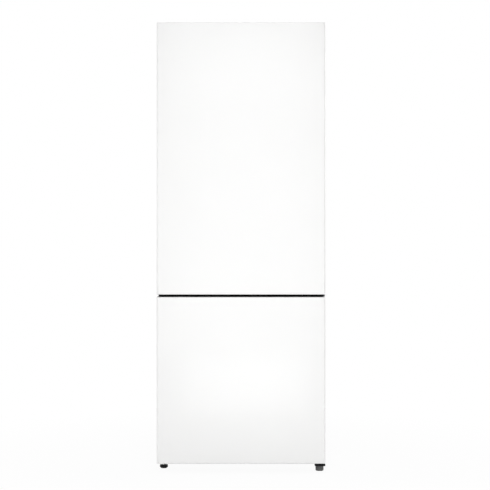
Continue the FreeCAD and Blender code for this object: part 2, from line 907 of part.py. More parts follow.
fridge_skin, fridge_top_cap, fridge_bottom_cap = door_shell(fridge_door_z, fridge_grip_z, [recess_block])
fridge_top_cap = joined([fridge_top_cap, recess_lining.cut(fridge_skin)]).cut(recess_block)
fridge_top_bore = pin_bore(top_pin_bottom_z - bore_reach, fridge_door_z[1])
fridge_top_cap = fridge_top_cap.cut(fridge_top_bore)
fridge_bottom_cap = grip_shell(fridge_grip_z, fridge_bottom_cap, fridge_skin)
fridge_bottom_bore = pin_bore(
    fridge_door_z[0] - cut_overrun, middle_plate_z[1] + middle_pin_reach + bore_reach
)
fridge_bottom_cap = fridge_bottom_cap.cut(fridge_bottom_bore)
freezer_skin, freezer_top_cap, freezer_bottom_cap = door_shell(freezer_door_z, freezer_grip_z, [])
freezer_top_cap = grip_shell(freezer_grip_z, freezer_top_cap, freezer_skin)
freezer_top_bore = pin_bore(
    middle_plate_z[0] - middle_pin_reach - bore_reach, freezer_door_z[1] + cut_overrun
)
freezer_bottom_bore = pin_bore(
    freezer_door_z[0] - cut_overrun, freezer_door_z[0] + bottom_pin_reach + bore_reach
)
freezer_top_cap = freezer_top_cap.cut(freezer_top_bore)
freezer_bottom_cap = freezer_bottom_cap.cut(freezer_bottom_bore)

door_liner_sheet = 2.5
dyke_from_wall = 12.5
dyke_half = fridge_half - dyke_from_wall
dyke_width = 22.0
dyke_depth = 36.0
dyke_corner = 6.0
dyke_from_mouth = 10.0
freezer_field_depth = 3.0
gasket_from_side = 20.0
gasket_width = 24.0
gasket_neck = 10.0
gasket_neck_depth = 4.0
gasket_from_gap = 4.5
gasket_from_top = 8.0
gasket_from_flange = 3.0
fridge_gasket_z = (fridge_door_z[0] + gasket_from_gap, cabinet_top_z - gasket_from_top)
freezer_gasket_z = (bottom_flange_z[1] + gasket_from_flange, freezer_door_z[1] - gasket_from_gap)
fridge_field_z = grow((fridge_floor_z, fridge_ceiling_z), -dyke_from_mouth)
freezer_field_z = grow((freezer_floor_z, freezer_ceiling_z), -dyke_from_mouth)

bin_end_clear = 7.0
bin_half = dyke_half - dyke_width - bin_end_clear
bin_depth = 98.0
bin_wall = 2.5
bin_corner = 12.0
bin_heights = (105.0, 92.0, 84.0)
bin_floor_shares = (0.07, 0.45, 0.73)
bin_hook_level = 40.0
lug_from_back = 10.0
lug_width = 12.0
lug_height = 16.0
lug_corner = 2.0
hook_height = 12.0
bin_floor_levels = [share_of(fridge_field_z, share) for share in bin_floor_shares]
lid_level = bin_floor_levels[2] + bin_heights[2]


def frame(x, y, z, width):
    """Rectangular frame seen from the front."""
    return block(x, y, z).cut(block(grow(x, -width), grow(y, cut_overrun), grow(z, -width)))


def gasket(z):
    """Magnetic seal: a narrow root held by the door and a wide bulb towards the cabinet."""
    x = mirror_span(door_half - gasket_from_side)
    root_in = (gasket_width - gasket_neck) / 2
    root = frame(
        grow(x, -root_in), from_low(door_back_y, gasket_neck_depth), grow(z, -root_in), gasket_neck
    )
    bulb = frame(x, (door_back_y + gasket_neck_depth, cabinet_front_y - seat_gap), z, gasket_width)
    return joined([root, bulb])


def fridge_door_liner():
    """Moulded inner face of the fridge door: two upright dykes joined above and below, with bin lugs."""
    z = grow(fridge_door_z, -cap_wall)
    plate = block(
        mirror_span(door_half - door_back_return),
        to_high(door_back_y, door_liner_sheet),
        (z[0], recess_z[0] - cap_wall),
    )
    field = fridge_field_z
    outer = rounded(
        block(mirror_span(dyke_half), (door_back_y - door_liner_sheet, door_back_y + dyke_depth), field),
        dyke_corner,
        lambda edge: not lies_at(edge, "y", door_back_y - door_liner_sheet),
    )
    pan = rounded(
        block(
            mirror_span(dyke_half - dyke_width),
            (door_back_y, door_back_y + dyke_depth + cut_overrun),
            grow(field, -dyke_width),
        ),
        dyke_corner,
        lambda edge: runs_along(edge, y_way),
    )
    hollow = frame(
        mirror_span(dyke_half - door_liner_sheet),
        (door_back_y - door_liner_sheet - cut_overrun, door_back_y + dyke_depth - door_liner_sheet),
        grow(field, -door_liner_sheet),
        dyke_width - 2 * door_liner_sheet,
    )
    lugs = []
    for low in bin_floor_levels:
        lug = rounded(
            block(
                (bin_half + seat_gap, dyke_half - dyke_width + door_liner_sheet / 2),
                from_low(door_back_y + lug_from_back, lug_width),
                to_high(low + bin_hook_level, lug_height),
            ),
            lug_corner,
            lambda edge: runs_along(edge, x_way),
        )
        lugs += both_sides(lug)
    shell = joined([plate, outer]).cut(pan)
    return joined([shell] + lugs).cut([hollow, fridge_top_cap, fridge_bottom_cap])


def door_bin(low, height):
    """Open bin whose end hooks rest on the door liner's lugs."""
    x = mirror_span(bin_half)
    y = (door_back_y + seat_gap, door_back_y + bin_depth)
    z = from_low(low, height)
    body = rounded(
        block(x, y, z), bin_corner, lambda edge: runs_along(edge, z_way) and lies_at(edge, "y", y[1])
    )
    hollow = rounded(
        block(grow(x, -bin_wall), grow(y, -bin_wall), (z[0] + bin_wall, z[1] + cut_overrun)),
        bin_corner - bin_wall,
        lambda edge: runs_along(edge, z_way) and lies_at(edge, "y", y[1] - bin_wall),
    )
    hook_low = low + bin_hook_level + seat_gap
    hook = block(
        (bin_half - bin_wall / 2, dyke_half - dyke_width - seat_gap),
        from_low(door_back_y + lug_from_back, lug_width),
        from_low(hook_low, hook_height),
    )
    return joined([body.cut(hollow)] + both_sides(hook))


fridge_door_inner = fridge_door_liner()


def freezer_door_liner():
    """Moulded inner face of the freezer door: a plate with a shallow raised field inside the gasket."""
    z = grow(freezer_door_z, -cap_wall)
    plate = block(mirror_span(door_half - door_back_return), to_high(door_back_y, door_liner_sheet), z)
    field = rounded(
        block(
            mirror_span(dyke_half),
            (door_back_y - door_liner_sheet, door_back_y + freezer_field_depth),
            freezer_field_z,
        ),
        dyke_corner,
        lambda edge: runs_along(edge, y_way),
    )
    hollow_front_y = door_back_y - door_liner_sheet - cut_overrun
    hollow = block(
        mirror_span(dyke_half - door_liner_sheet),
        (hollow_front_y, door_back_y + freezer_field_depth - door_liner_sheet),
        grow(freezer_field_z, -door_liner_sheet),
    )
    return joined([plate, field]).cut([hollow, freezer_top_cap, freezer_bottom_cap])


freezer_door_inner = freezer_door_liner()


def door_foam(z, skin, caps, inner, boxes):
    """Foam that fills a door between its skin, end caps and inner liner."""
    fill = block(
        mirror_span(door_inner_half), (door_front_y, door_back_y - door_liner_sheet), grow(z, -cap_wall)
    )
    return fill.common(door_room(z)).cut([skin] + caps + [inner] + boxes)


fridge_door_fill = door_foam(
    fridge_door_z,
    fridge_skin,
    [fridge_top_cap, fridge_bottom_cap],
    fridge_door_inner,
    [recess_block, recess_lining, grip_box(fridge_grip_z, cap_wall), fridge_top_bore, fridge_bottom_bore],
)
freezer_door_fill = door_foam(
    freezer_door_z,
    freezer_skin,
    [freezer_top_cap, freezer_bottom_cap],
    freezer_door_inner,
    [grip_box(freezer_grip_z, cap_wall), freezer_top_bore, freezer_bottom_bore],
)

lid_sheet = 2.0
lid_end_clear = 4.0
lid_half = bin_half - lid_end_clear
lid_front_gap = 1.0
lid_pivot_radius = 3.0
lid_pivot_from_back = 12.5
lid_cheek_rise = 7.0
lid_rise = 16.0
lid_corner = 8.0
lid_axis_y = door_back_y + lid_pivot_from_back
lid_axis_z = lid_level + lid_rise


def dairy_lid():
    """Clear flap over the top bin: a roof and a short front, turning on pins at its back edge."""
    y = (lid_axis_y - lid_pivot_radius, door_back_y + bin_depth - lid_front_gap)
    z = (lid_level + seat_gap, lid_axis_z + lid_pivot_radius)
    inside_y = (y[0] - cut_overrun, y[1] - lid_sheet)
    inside_z = (z[0] - cut_overrun, z[1] - lid_sheet)
    outer = rounded(
        block(mirror_span(lid_half), y, z),
        lid_corner,
        lambda edge: lies_at(edge, "z", z[1]) and lies_at(edge, "y", y[1]),
    )
    inner = rounded(
        block(mirror_span(lid_half + cut_overrun), inside_y, inside_z),
        lid_corner - lid_sheet,
        lambda edge: lies_at(edge, "z", inside_z[1]) and lies_at(edge, "y", inside_y[1]),
    )
    reach = bin_half - seat_gap
    barrel = rod(lid_pivot_radius, -reach, lid_axis_y, lid_axis_z, x_way, 2 * reach)
    return joined([outer.cut(inner), barrel])


def dairy_bin():
    """Top bin with raised cheeks whose holes carry the lid's pins."""
    base = door_bin(bin_floor_levels[2], bin_heights[2])
    cheek_y = from_low(door_back_y + seat_gap, 2 * lid_pivot_from_back)
    cheek_z = (lid_level - bin_wall, lid_axis_z + lid_cheek_rise)
    cheek = rounded(
        block((bin_half - bin_wall, bin_half), cheek_y, cheek_z),
        lid_cheek_rise,
        lambda edge: runs_along(edge, x_way) and lies_at(edge, "z", cheek_z[1]),
    )
    bore = hole(
        lid_pivot_radius + pin_clearance, -bin_half, lid_axis_y, lid_axis_z, x_way, 2 * bin_half
    )
    return joined([base] + both_sides(cheek)).cut(bore)


# Cold-air side: duct cover, damper, evaporator and its fan

duct_sheet = 2.5
outlet_width = 60.0
outlet_from_middle = 120.0
outlet_height = 12.0
outlet_share = 0.55
damper_width = 80.0
damper_thickness = 3.0
damper_rise = 8.0
damper_pin_radius = 1.5
damper_barrel_radius = 2.25
damper_pin_reach = 3.0
damper_cheek = 2.5
damper_side_gap = 0.5
damper_clear = 2.0
damper_axis_y = duct_hole_y[1] - damper_clear
damper_axis_z = fridge_floor_z + damper_rise


def duct_cover():
    """Moulded cover over the cold-air duct on the back wall, with an outlet above every shelf."""
    x = mirror_span(duct_width / 2)
    y = (duct_front_y, liner_back_y)
    inside_y = (y[0] + duct_sheet, y[1] + cut_overrun)
    outer = rounded(
        block(x, y, fridge_z),
        drawer_corner,
        lambda edge: runs_along(edge, z_way) and lies_at(edge, "y", y[0]),
    )
    inner = rounded(
        block(grow(x, -duct_sheet), inside_y, grow(fridge_z, -duct_sheet)),
        drawer_corner - duct_sheet,
        lambda edge: runs_along(edge, z_way) and lies_at(edge, "y", inside_y[0]),
    )
    cuts = []
    spaces = shelf_levels + [fridge_z[1]]
    for low, high in zip(spaces[:-1], spaces[1:]):
        outlet_z = around(share_of((low, high), outlet_share), outlet_height)
        outlet_y = grow(from_low(y[0], duct_sheet), cut_overrun)
        cuts += both_sides(block(around(outlet_from_middle, outlet_width), outlet_y, outlet_z))
    cheek = block(
        from_low(damper_width / 2 + damper_side_gap, damper_cheek),
        (y[0] + duct_sheet / 2, y[1]),
        (fridge_floor_z + duct_sheet / 2, damper_axis_z + damper_rise),
    )
    pivot = rod(
        damper_pin_radius + pin_clearance,
        -damper_width,
        damper_axis_y,
        damper_axis_z,
        x_way,
        2 * damper_width,
    )
    shell = joined([less(outer.cut(inner), cuts)] + both_sides(cheek))
    return shell.cut([duct_hole, pivot]).common(fridge_space)


duct_panel = duct_cover()


def damper():
    """Flap over the duct's mouth, turning on a pin at its back edge."""
    half = damper_width / 2
    flap = block(
        mirror_span(half),
        (duct_front_y + duct_sheet + damper_clear, damper_axis_y),
        around(damper_axis_z, damper_thickness),
    )
    reach = half + damper_pin_reach
    pin = rod(damper_pin_radius, -reach, damper_axis_y, damper_axis_z, x_way, 2 * reach)
    barrel = rod(damper_barrel_radius, -half, damper_axis_y, damper_axis_z, x_way, damper_width)
    return joined([flap, barrel, pin])


evaporator_sheet = 2.5
evaporator_side_gap = 3.0
fan_opening_radius = 46.0
fan_drop = 60.0
fan_blade_tip = 42.0
fan_hub_radius = 13.0
fan_hub_depth = 20.0
fan_blade_chord = 24.0
fan_blade_corner = 6.0
fan_blade_root = 10.4
fan_blade_sheet = 1.6
fan_blade_pitch = 32.0
fan_blade_count = 5
fan_shaft_radius = 2.0
fan_shaft_reach = 14.0
fan_behind_cover = 6.0
fan_y = evaporator_cover_y + fan_behind_cover
evaporator_fan_z = freezer_ceiling_z - fan_drop
return_slot_count = 10
return_slot_width = 12.0
return_slot_height = 26.0
return_slot_pitch = 34.0


def evaporator_cover():
    """Moulded back panel of the freezer with a fan opening above and return slots below."""
    x = mirror_span(freezer_half - evaporator_side_gap)
    y = (evaporator_cover_y, liner_back_y)
    z = (hump_top_z, freezer_ceiling_z)
    outer = block(x, y, z)
    inner = block(
        grow(x, -evaporator_sheet),
        (y[0] + evaporator_sheet, y[1] + cut_overrun),
        (z[0] - cut_overrun, z[1] - evaporator_sheet),
    )
    collar_radius = fan_opening_radius + evaporator_sheet
    collar = rod(collar_radius, 0, y[0], evaporator_fan_z, y_way, fan_hub_depth / 2)
    cuts = [hole(fan_opening_radius, 0, y[0], evaporator_fan_z, y_way, fan_hub_depth / 2)]
    slot_z = from_low(freezer_shelf_levels[0] + shelf_glass + freezer_drawer_clear, return_slot_height)
    start = -return_slot_pitch * (return_slot_count - 1) / 2
    for index in range(return_slot_count):
        slot_x = around(start + index * return_slot_pitch, return_slot_width)
        cuts.append(block(slot_x, grow(from_low(y[0], evaporator_sheet), cut_overrun), slot_z))
    return joined([outer.cut(inner), collar]).cut(cuts + [duct_hole]).common(freezer_space)


evaporator_panel = evaporator_cover()


def fan(centre, turn):
    """Hub with a bore and pitched blades, facing along y and then turned about z and placed."""
    hub = rounded(
        rod(fan_hub_radius, 0, 0, 0, y_way, fan_hub_depth),
        fan_blade_sheet,
        lambda edge: is_round(edge) and lies_at(edge, "y", 0),
    )
    blades = []
    for index in range(fan_blade_count):
        blade = rounded(
            block(
                around(0, fan_blade_chord),
                around(fan_hub_depth / 2, fan_blade_sheet),
                (fan_blade_root, fan_blade_tip),
            ),
            fan_blade_corner,
            lambda edge: runs_along(edge, y_way) and lies_at(edge, "z", fan_blade_tip),
        )
        blade.rotate(vec(0, fan_hub_depth / 2, 0), z_way, fan_blade_pitch)
        blade.rotate(vec(0, 0, 0), y_way, index * full_turn / fan_blade_count)
        blades.append(blade)
    bore_depth = fan_shaft_reach + seat_gap
    bore = rod(fan_shaft_radius + pin_clearance, 0, fan_hub_depth - bore_depth, 0, y_way, bore_depth)
    shape = joined([hub] + blades).cut(bore)
    shape.rotate(vec(0, 0, 0), z_way, turn)
    shape.translate(centre)
    return shape


motor_radius = 22.0
motor_depth = 18.0
motor_gap = 2.0
motor_shaft_length = fan_shaft_reach + 2 * motor_gap
bracket_width = 14.0
bracket_sheet = 3.0
evaporator_motor_y = fan_y + fan_hub_depth + motor_gap
evaporator_fan = fan(vec(0, fan_y, evaporator_fan_z), 0)


def evaporator_motor():
    """Small motor behind the freezer fan on a cross bracket against the liner."""
    front_y = evaporator_motor_y
    body = rounded(
        rod(motor_radius, 0, front_y, evaporator_fan_z, y_way, liner_back_y - front_y),
        motor_gap,
        lambda edge: is_round(edge) and lies_at(edge, "y", front_y),
    )
    bar = block(
        mirror_span(2 * motor_radius),
        to_high(liner_back_y, bracket_sheet),
        around(evaporator_fan_z, bracket_width),
    )
    shaft_y = front_y - motor_gap - fan_shaft_reach
    shaft = rod(fan_shaft_radius, 0, shaft_y, evaporator_fan_z, y_way, motor_shaft_length)
    return joined([body, bar, shaft])


evaporator_half = 178.0
evaporator_below_fan = 63.5
evaporator_depth = 36.0
evaporator_rise = 12.0
evaporator_fin = 0.8
evaporator_fin_count = 23
evaporator_tube_radius = 4.0
evaporator_rows = 5
evaporator_columns = 2


def finned_block(x, y, z, foot_z, fin, count, tube, rows, columns):
    """Heat exchanger: thin fins across straight tubes between two end plates that stand on feet."""
    shapes = []
    for index in range(count):
        middle = share_of(x, index / (count - 1))
        at_end = index in (0, count - 1)
        fin_x = around(middle, 2 * fin if at_end else fin)
        shapes.append(block(fin_x, y, (foot_z if at_end else z[0], z[1])))
    tube_x = grow(x, 2 * tube)
    for row in range(rows):
        for column in range(columns):
            tube_z = share_of(z, (2 * row + 1) / (2 * rows))
            tube_y = share_of(y, (2 * column + 1) / (2 * columns))
            shapes.append(rod(tube, tube_x[0], tube_y, tube_z, x_way, tube_x[1] - tube_x[0]))
    return joined(shapes)


evaporator_y = to_high(liner_back_y - seat_gap, evaporator_depth)
evaporator_z = (hump_top_z + evaporator_rise, evaporator_fan_z - evaporator_below_fan)
evaporator = finned_block(
    mirror_span(evaporator_half),
    evaporator_y,
    evaporator_z,
    hump_top_z,
    evaporator_fin,
    evaporator_fin_count,
    evaporator_tube_radius,
    evaporator_rows,
    evaporator_columns,
)


# Control housing with its light and buttons

housing_half = 105.0
housing_height = 30.0
housing_set_back = 125.0
housing_depth = 130.0
housing_corner = 8.0
lens_half = 60.0
lens_depth = 60.0
lens_proud = 3.0
lens_sink = 9.0
lens_from_back = 14.0
button_radius = 7.0
button_proud = 2.0
button_length = 9.0
button_travel = 1.2
button_from_middle = 45.0
housing_y = from_low(cabinet_front_y + housing_set_back, housing_depth)
housing_z = to_high(fridge_ceiling_z, housing_height)
lens_y = to_high(housing_y[1] - lens_from_back, lens_depth)
button_z = middle_of(housing_z)
button_y = (housing_y[0] - button_proud, housing_y[0] - button_proud + button_length)


def control_housing():
    """Moulded housing under the ceiling with two button wells and a pocket for the lamp lens."""
    body = rounded(
        block(mirror_span(housing_half), housing_y, housing_z),
        housing_corner,
        lambda edge: not lies_at(edge, "z", housing_z[1]),
    )
    pocket = block(mirror_span(lens_half), lens_y, (housing_z[0] - cut_overrun, housing_z[0] + lens_sink))
    well_depth = button_length + button_travel - button_proud + seat_gap
    well = rod(
        button_radius + seat_gap,
        button_from_middle,
        housing_y[0] - cut_overrun,
        button_z,
        y_way,
        well_depth + cut_overrun,
    )
    return body.cut([pocket] + both_sides(well))


def light_lens():
    """Clear lens over the lamp, set into the housing's underside."""
    body = block(mirror_span(lens_half), lens_y, (housing_z[0] - lens_proud, housing_z[0] + lens_sink))
    return rounded(body, lens_proud / 2, lambda edge: lies_at(edge, "z", housing_z[0] - lens_proud))


def button(x):
    """Round push button that travels back into the housing."""
    body = rod(button_radius, x, button_y[0], button_z, y_way, button_length)
    return rounded(body, button_travel, lambda edge: is_round(edge) and lies_at(edge, "y", button_y[0]))


# Machinery bay

deck_sheet = 2.0
deck_back_margin = 12.0
deck_fold = 26.0
roller_radius = 16.0
roller_width = 18.0
roller_from_side = 44.0
roller_from_back = 30.0
roller_bore_radius = 3.0
roller_rim = 3.0
ear_sheet = 2.0
ear_half = 9.0
deck_z = from_low(cabinet_floor_gap, deck_sheet)
deck_y = (machine_front_y, cabinet_back_y - deck_back_margin)
roller_x = cabinet_half - roller_from_side
roller_y = cabinet_back_y - roller_from_back


def compressor_deck():
    """Steel floor of the machinery bay with a front fold and ears and axles for the rear rollers."""
    wide = mirror_span(inner_half)
    plate = block(wide, deck_y, deck_z)
    fold = block(wide, from_low(deck_y[0], deck_sheet), from_low(deck_z[0], deck_fold))
    shapes = [plate, fold]
    for side in (-1, 1):
        middle = side * roller_x
        for ear_x in (
            to_high(middle - roller_width / 2 - seat_gap, ear_sheet),
            from_low(middle + roller_width / 2 + seat_gap, ear_sheet),
        ):
            ear = block(ear_x, around(roller_y, 2 * ear_half), (roller_radius, deck_z[0]))
            eye = rod(ear_half, ear_x[0], roller_y, roller_radius, x_way, ear_sheet)
            shapes += [ear, eye]
        axle_x = grow(around(middle, roller_width), seat_gap + ear_sheet / 2)
        axle_length = axle_x[1] - axle_x[0]
        shapes.append(rod(roller_bore_radius, axle_x[0], roller_y, roller_radius, x_way, axle_length))
    return joined(shapes)


def roller(side):
    """Rear wheel with a rounded tread."""
    x = around(side * roller_x, roller_width)
    wheel = rounded(
        rod(roller_radius, x[0], roller_y, roller_radius, x_way, roller_width), roller_rim, is_round
    )
    bore_radius = roller_bore_radius + pin_clearance
    return wheel.cut(hole(bore_radius, x[0], roller_y, roller_radius, x_way, roller_width))


left_foot_radius = 15.3
left_foot_base_radius = 11.5
left_foot_height = 14.0
right_foot_radius = 15.3
right_foot_base_radius = 14.3
right_foot_height = 19.0
foot_bevel_share = 0.45


def foot(x, y, radius, base_radius, height, stem_top):
    """Levelling foot: a disc that narrows to the floor, on a threaded stem."""
    bevel = height * foot_bevel_share
    low = Part.makeCone(base_radius, radius, bevel, vec(x, y, 0), z_way)
    disc = rod(radius, x, y, bevel, z_way, height - bevel)
    stem = rod(foot_stem_radius, x, y, height - bevel, z_way, stem_top - height + bevel)
    return joined([low, disc, stem])


compressor_from_side = 140.0
compressor_x = inner_half - compressor_from_side
compressor_radius = 72.0
compressor_height = 158.0
compressor_dome = 34.0
compressor_saddle_radius = 43.0
compressor_seam_height = 5.0
compressor_seam_proud = 3.0
compressor_base = 3.0
compressor_base_half_x = 92.0
compressor_base_half_y = 62.0
grommet_height = 12.0
grommet_radius = 11.0
grommet_bore = 4.0
grommet_inset = 16.0
terminal_width = 46.0
terminal_height = 52.0
terminal_depth = 26.0
stub_radius = 4.0
stub_reach = 24.0
stub_rises = (-24.0, 0.0, 24.0)
stub_shifts = (-12.0, 0.0, 12.0)
compressor_y = middle_of(deck_y) + stub_radius
compressor_z = from_low(deck_z[1] + grommet_height + compressor_base, compressor_height)
grommet_off_x = compressor_base_half_x - grommet_inset
grommet_off_y = compressor_base_half_y - grommet_inset
grommet_places = [
    (compressor_x + side * grommet_off_x, compressor_y + end * grommet_off_y)
    for side in (-1, 1)
    for end in (-1, 1)
]


def compressor():
    """Hermetic compressor: a domed shell with a weld seam on a base plate, terminal box and tube stubs."""
    shell = rounded(
        rod(compressor_radius, compressor_x, compressor_y, compressor_z[0], z_way, compressor_height),
        compressor_dome,
        is_round,
    )
    seam_z = middle_of(compressor_z)
    seam_radius = compressor_radius + compressor_seam_proud
    seam = rod(seam_radius, compressor_x, compressor_y, seam_z, z_way, compressor_seam_height)
    base_z = to_high(compressor_z[0], compressor_base)
    base = rounded_block(
        around(compressor_x, 2 * compressor_base_half_x),
        around(compressor_y, 2 * compressor_base_half_y),
        base_z,
        grommet_radius,
        z_way,
    )
    saddle = rod(
        compressor_saddle_radius, compressor_x, compressor_y, base_z[0], z_way, compressor_dome
    )
    terminal = block(
        from_low(compressor_x + compressor_radius - terminal_depth / 2, terminal_depth),
        around(compressor_y, terminal_width),
        around(seam_z, terminal_height),
    )
    stub_x = compressor_x - compressor_radius - stub_reach / 2
    stubs = [
        rod(stub_radius, stub_x, compressor_y + shift, seam_z + rise, x_way, stub_reach)
        for shift, rise in zip(stub_shifts, stub_rises)
    ]
    return joined([shell, seam, base, saddle, terminal] + stubs)


def grommets():
    """Rubber feet between the compressor's base plate and the deck."""
    shapes = []
    for x, y in grommet_places:
        ring = rod(grommet_radius, x, y, deck_z[1], z_way, grommet_height)
        shapes.append(ring.cut(hole(grommet_bore, x, y, deck_z[1], z_way, grommet_height)))
    return shapes


pan_from_side = 47.5
pan_width = 164.0
pan_height = 30.0
pan_wall = 2.5
pan_margin = 10.0
condenser_margin = 14.0
condenser_height = 130.0
condenser_rise = 8.0
condenser_fin = 0.8
condenser_fin_count = 17
condenser_tube_radius = 3.0
condenser_rows = 5
condenser_columns = 4
pan_y = grow(deck_y, -pan_margin)
shroud_beside_pan = 6.0
shroud_height = 165.0
shroud_opening = 46.0
condenser_fan_rise = 100.0
condenser_fan_gap = 4.0
pan_x = from_low(-inner_half + pan_from_side, pan_width)
shroud_x = from_low(pan_x[1] + shroud_beside_pan, bracket_sheet)


def drain_pan():
    """Open tray on the deck that catches defrost water under the condenser."""
    z = from_low(deck_z[1], pan_height)
    outer = rounded_block(pan_x, pan_y, z, drawer_corner, z_way)
    inner = rounded_block(
        grow(pan_x, -pan_wall),
        grow(pan_y, -pan_wall),
        (z[0] + pan_wall, z[1] + cut_overrun),
        drawer_corner - pan_wall,
        z_way,
    )
    return outer.cut(inner)


condenser_floor_z = deck_z[1] + pan_wall
condenser = finned_block(
    grow(pan_x, -condenser_margin - 2 * condenser_tube_radius),
    grow(pan_y, -condenser_margin),
    from_low(condenser_floor_z + condenser_rise, condenser_height),
    condenser_floor_z,
    condenser_fin,
    condenser_fin_count,
    condenser_tube_radius,
    condenser_rows,
    condenser_columns,
)

condenser_fan_x = shroud_x[1] + condenser_fan_gap
condenser_fan_y = middle_of(deck_y)
condenser_fan_z = deck_z[1] + condenser_fan_rise
condenser_fan = fan(vec(condenser_fan_x, condenser_fan_y, condenser_fan_z), -quarter_turn)


def condenser_motor():
    """Fan frame beside the condenser with the motor held behind the blades by a bracket."""
    y = grow(deck_y, -pan_margin)
    frame_plate = block(shroud_x, y, from_low(deck_z[1], shroud_height))
    mouth = hole(
        shroud_opening, shroud_x[0], condenser_fan_y, condenser_fan_z, x_way, bracket_sheet
    )
    motor_x = from_low(condenser_fan_x + fan_hub_depth + motor_gap, motor_depth)
    body = rod(motor_radius, motor_x[0], condenser_fan_y, condenser_fan_z, x_way, motor_depth)
    shaft_x = motor_x[0] - motor_gap - fan_shaft_reach
    shaft = rod(
        fan_shaft_radius, shaft_x, condenser_fan_y, condenser_fan_z, x_way, motor_shaft_length
    )
    bracket_y = around(condenser_fan_y, bracket_width)
    post = block(to_high(motor_x[1], bracket_sheet), bracket_y, (deck_z[1], condenser_fan_z))
    foot_bar = block((shroud_x[0], motor_x[1]), bracket_y, from_low(deck_z[1], bracket_sheet))
    return joined([frame_plate.cut(mouth), body, shaft, post, foot_bar])


rear_cover_margin = 6.0
louvre_count = 9
louvre_width = 90.0
louvre_height = 5.0
louvre_pitch = 18.0
louvre_columns = (-0.68, -0.3, 0.3, 0.68)
gland_radius = 9.0
gland_bore = 4.0
gland_proud = 2.5
gland_x_share = 0.88
gland_rise = 24.0
rear_cover_z = (deck_z[1], back_panel_z[0] - seat_gap)
rear_cover_y = from_low(cabinet_back_y, steel_sheet)
gland_x = gland_x_share * cabinet_half
gland_z = rear_cover_z[0] + gland_rise
back_screw_from_side = 12.5
back_screw_x = cabinet_half - back_screw_from_side
rear_screws = [
    screw(side * back_screw_x, rear_cover_y[1], middle_of(rear_cover_z), y_way * -1)
    for side in (-1, 1)
]
back_screw_shares = (0.03, 0.5, 0.97)
back_screws = [
    screw(side * back_screw_x, rear_cover_y[1], share_of(back_panel_z, share), y_way * -1)
    for side in (-1, 1)
    for share in back_screw_shares
]


def rear_cover():
    """Steel cover of the machinery bay with columns of louvre slots and a hole for the cord gland."""
    plate = block(mirror_span(cabinet_half - rear_cover_margin), rear_cover_y, rear_cover_z)
    cuts = [hole(gland_radius, gland_x, rear_cover_y[0], gland_z, y_way, steel_sheet)]
    start = middle_of(rear_cover_z) - louvre_pitch * (louvre_count - 1) / 2
    for share in louvre_columns:
        for index in range(louvre_count):
            cuts.append(
                block(
                    around(share * (cabinet_half - louvre_width / 2), louvre_width),
                    grow(rear_cover_y, cut_overrun),
                    around(start + index * louvre_pitch, louvre_height),
                )
            )
    return plate.cut(cuts + rear_screws)


def cord_gland():
    """Round inlet bush in the rear cover through which the supply enters."""
    y = (rear_cover_y[0] - 2 * gland_proud, rear_cover_y[1] + gland_proud)
    body = rod(gland_radius, gland_x, y[0], gland_z, y_way, y[1] - y[0])
    flange = rod(gland_radius + gland_proud, gland_x, rear_cover_y[1], gland_z, y_way, gland_proud)
    bore = hole(gland_bore, gland_x, y[0], gland_z, y_way, y[1] - y[0])
    return joined([body, flange]).cut(bore)


# Cabinet foam, once everything that it touches is known

machine_space = block(
    mirror_span(inner_half),
    (machine_front_y, cabinet_back_y + cut_overrun),
    (cabinet_floor_gap, machine_roof_z),
)


def cabinet_foam():
    """Rigid foam between the steel shell and the two liners."""
    z = (cabinet_floor_gap + base_sheet, cabinet_top_z - steel_sheet)
    main = block(mirror_span(inner_half), grow(shell_y, -steel_sheet), z)
    tail = block(mirror_span(back_half), to_high(cabinet_back_y, steel_sheet), z)
    fill = joined([main, tail])
    around_it = sides + rails + [roof, base_shell, machine_space, duct_hole, left_foot_bore]
    around_it += [fridge_mass, freezer_mass, fridge_inner, freezer_inner]
    return fill.cut(around_it + screws)


sides = [side.cut(screws) for side in sides]
rails = [rail.cut(screws) for rail in rails]

parts["cabinet-sides"] = group(sides)
parts["cabinet-top"] = roof.cut(top_screws)
parts["cabinet-back"] = back_sheet.cut(back_screws)
parts["cabinet-base"] = base_shell.cut(bottom_screws)
parts["front-rails"] = group(rails)
parts["cabinet-foam"] = cabinet_foam()
parts["fridge-liner"] = fridge_inner.cut(screws)
parts["freezer-liner"] = freezer_inner.cut(screws)
parts["divider-trim"] = divider_trim()
parts["top-hinge"] = top_hinge_shape
parts["top-hinge-cover"] = hinge_cover()
parts["middle-hinge"] = middle_hinge_shape
parts["bottom-hinge"] = bottom_hinge_shape
parts["hinge-washers"] = group(washers)
parts["screws"] = group(screws)
parts["glass-shelves"] = group(glass)
parts["shelf-trims"] = group(shelf_trims())
parts["duct-cover"] = duct_panel
parts["air-damper"] = damper()
parts["evaporator"] = evaporator
parts["evaporator-cover"] = evaporator_panel
parts["evaporator-fan"] = evaporator_fan
parts["fan-motors"] = group([evaporator_motor(), condenser_motor()])
parts["control-housing"] = control_housing()
parts["light-lens"] = light_lens()
parts["temperature-button"] = button(-button_from_middle)
parts["fast-freeze-button"] = button(button_from_middle)
parts["compressor-deck"] = compressor_deck()
parts["compressor"] = compressor()
parts["compressor-grommets"] = group(grommets())
parts["condenser"] = condenser
parts["condenser-fan"] = condenser_fan
parts["drain-pan"] = drain_pan()
parts["rear-cover"] = rear_cover()
parts["cord-gland"] = cord_gland()
parts["rear-roller-left"] = roller(-1)
parts["rear-roller-right"] = roller(1)
parts["left-foot"] = foot(
    left_foot_x,
    left_foot_y,
    left_foot_radius,
    left_foot_base_radius,
    left_foot_height,
    cabinet_floor_gap + foot_nut_height - seat_gap,
)
parts["right-foot"] = foot(
    hinge_x,
    hinge_y,
    right_foot_radius,
    right_foot_base_radius,
    right_foot_height,
    foot_pocket_z - seat_gap,
)
parts["fridge-door-skin"] = fridge_skin
parts["fridge-door-top-cap"] = fridge_top_cap
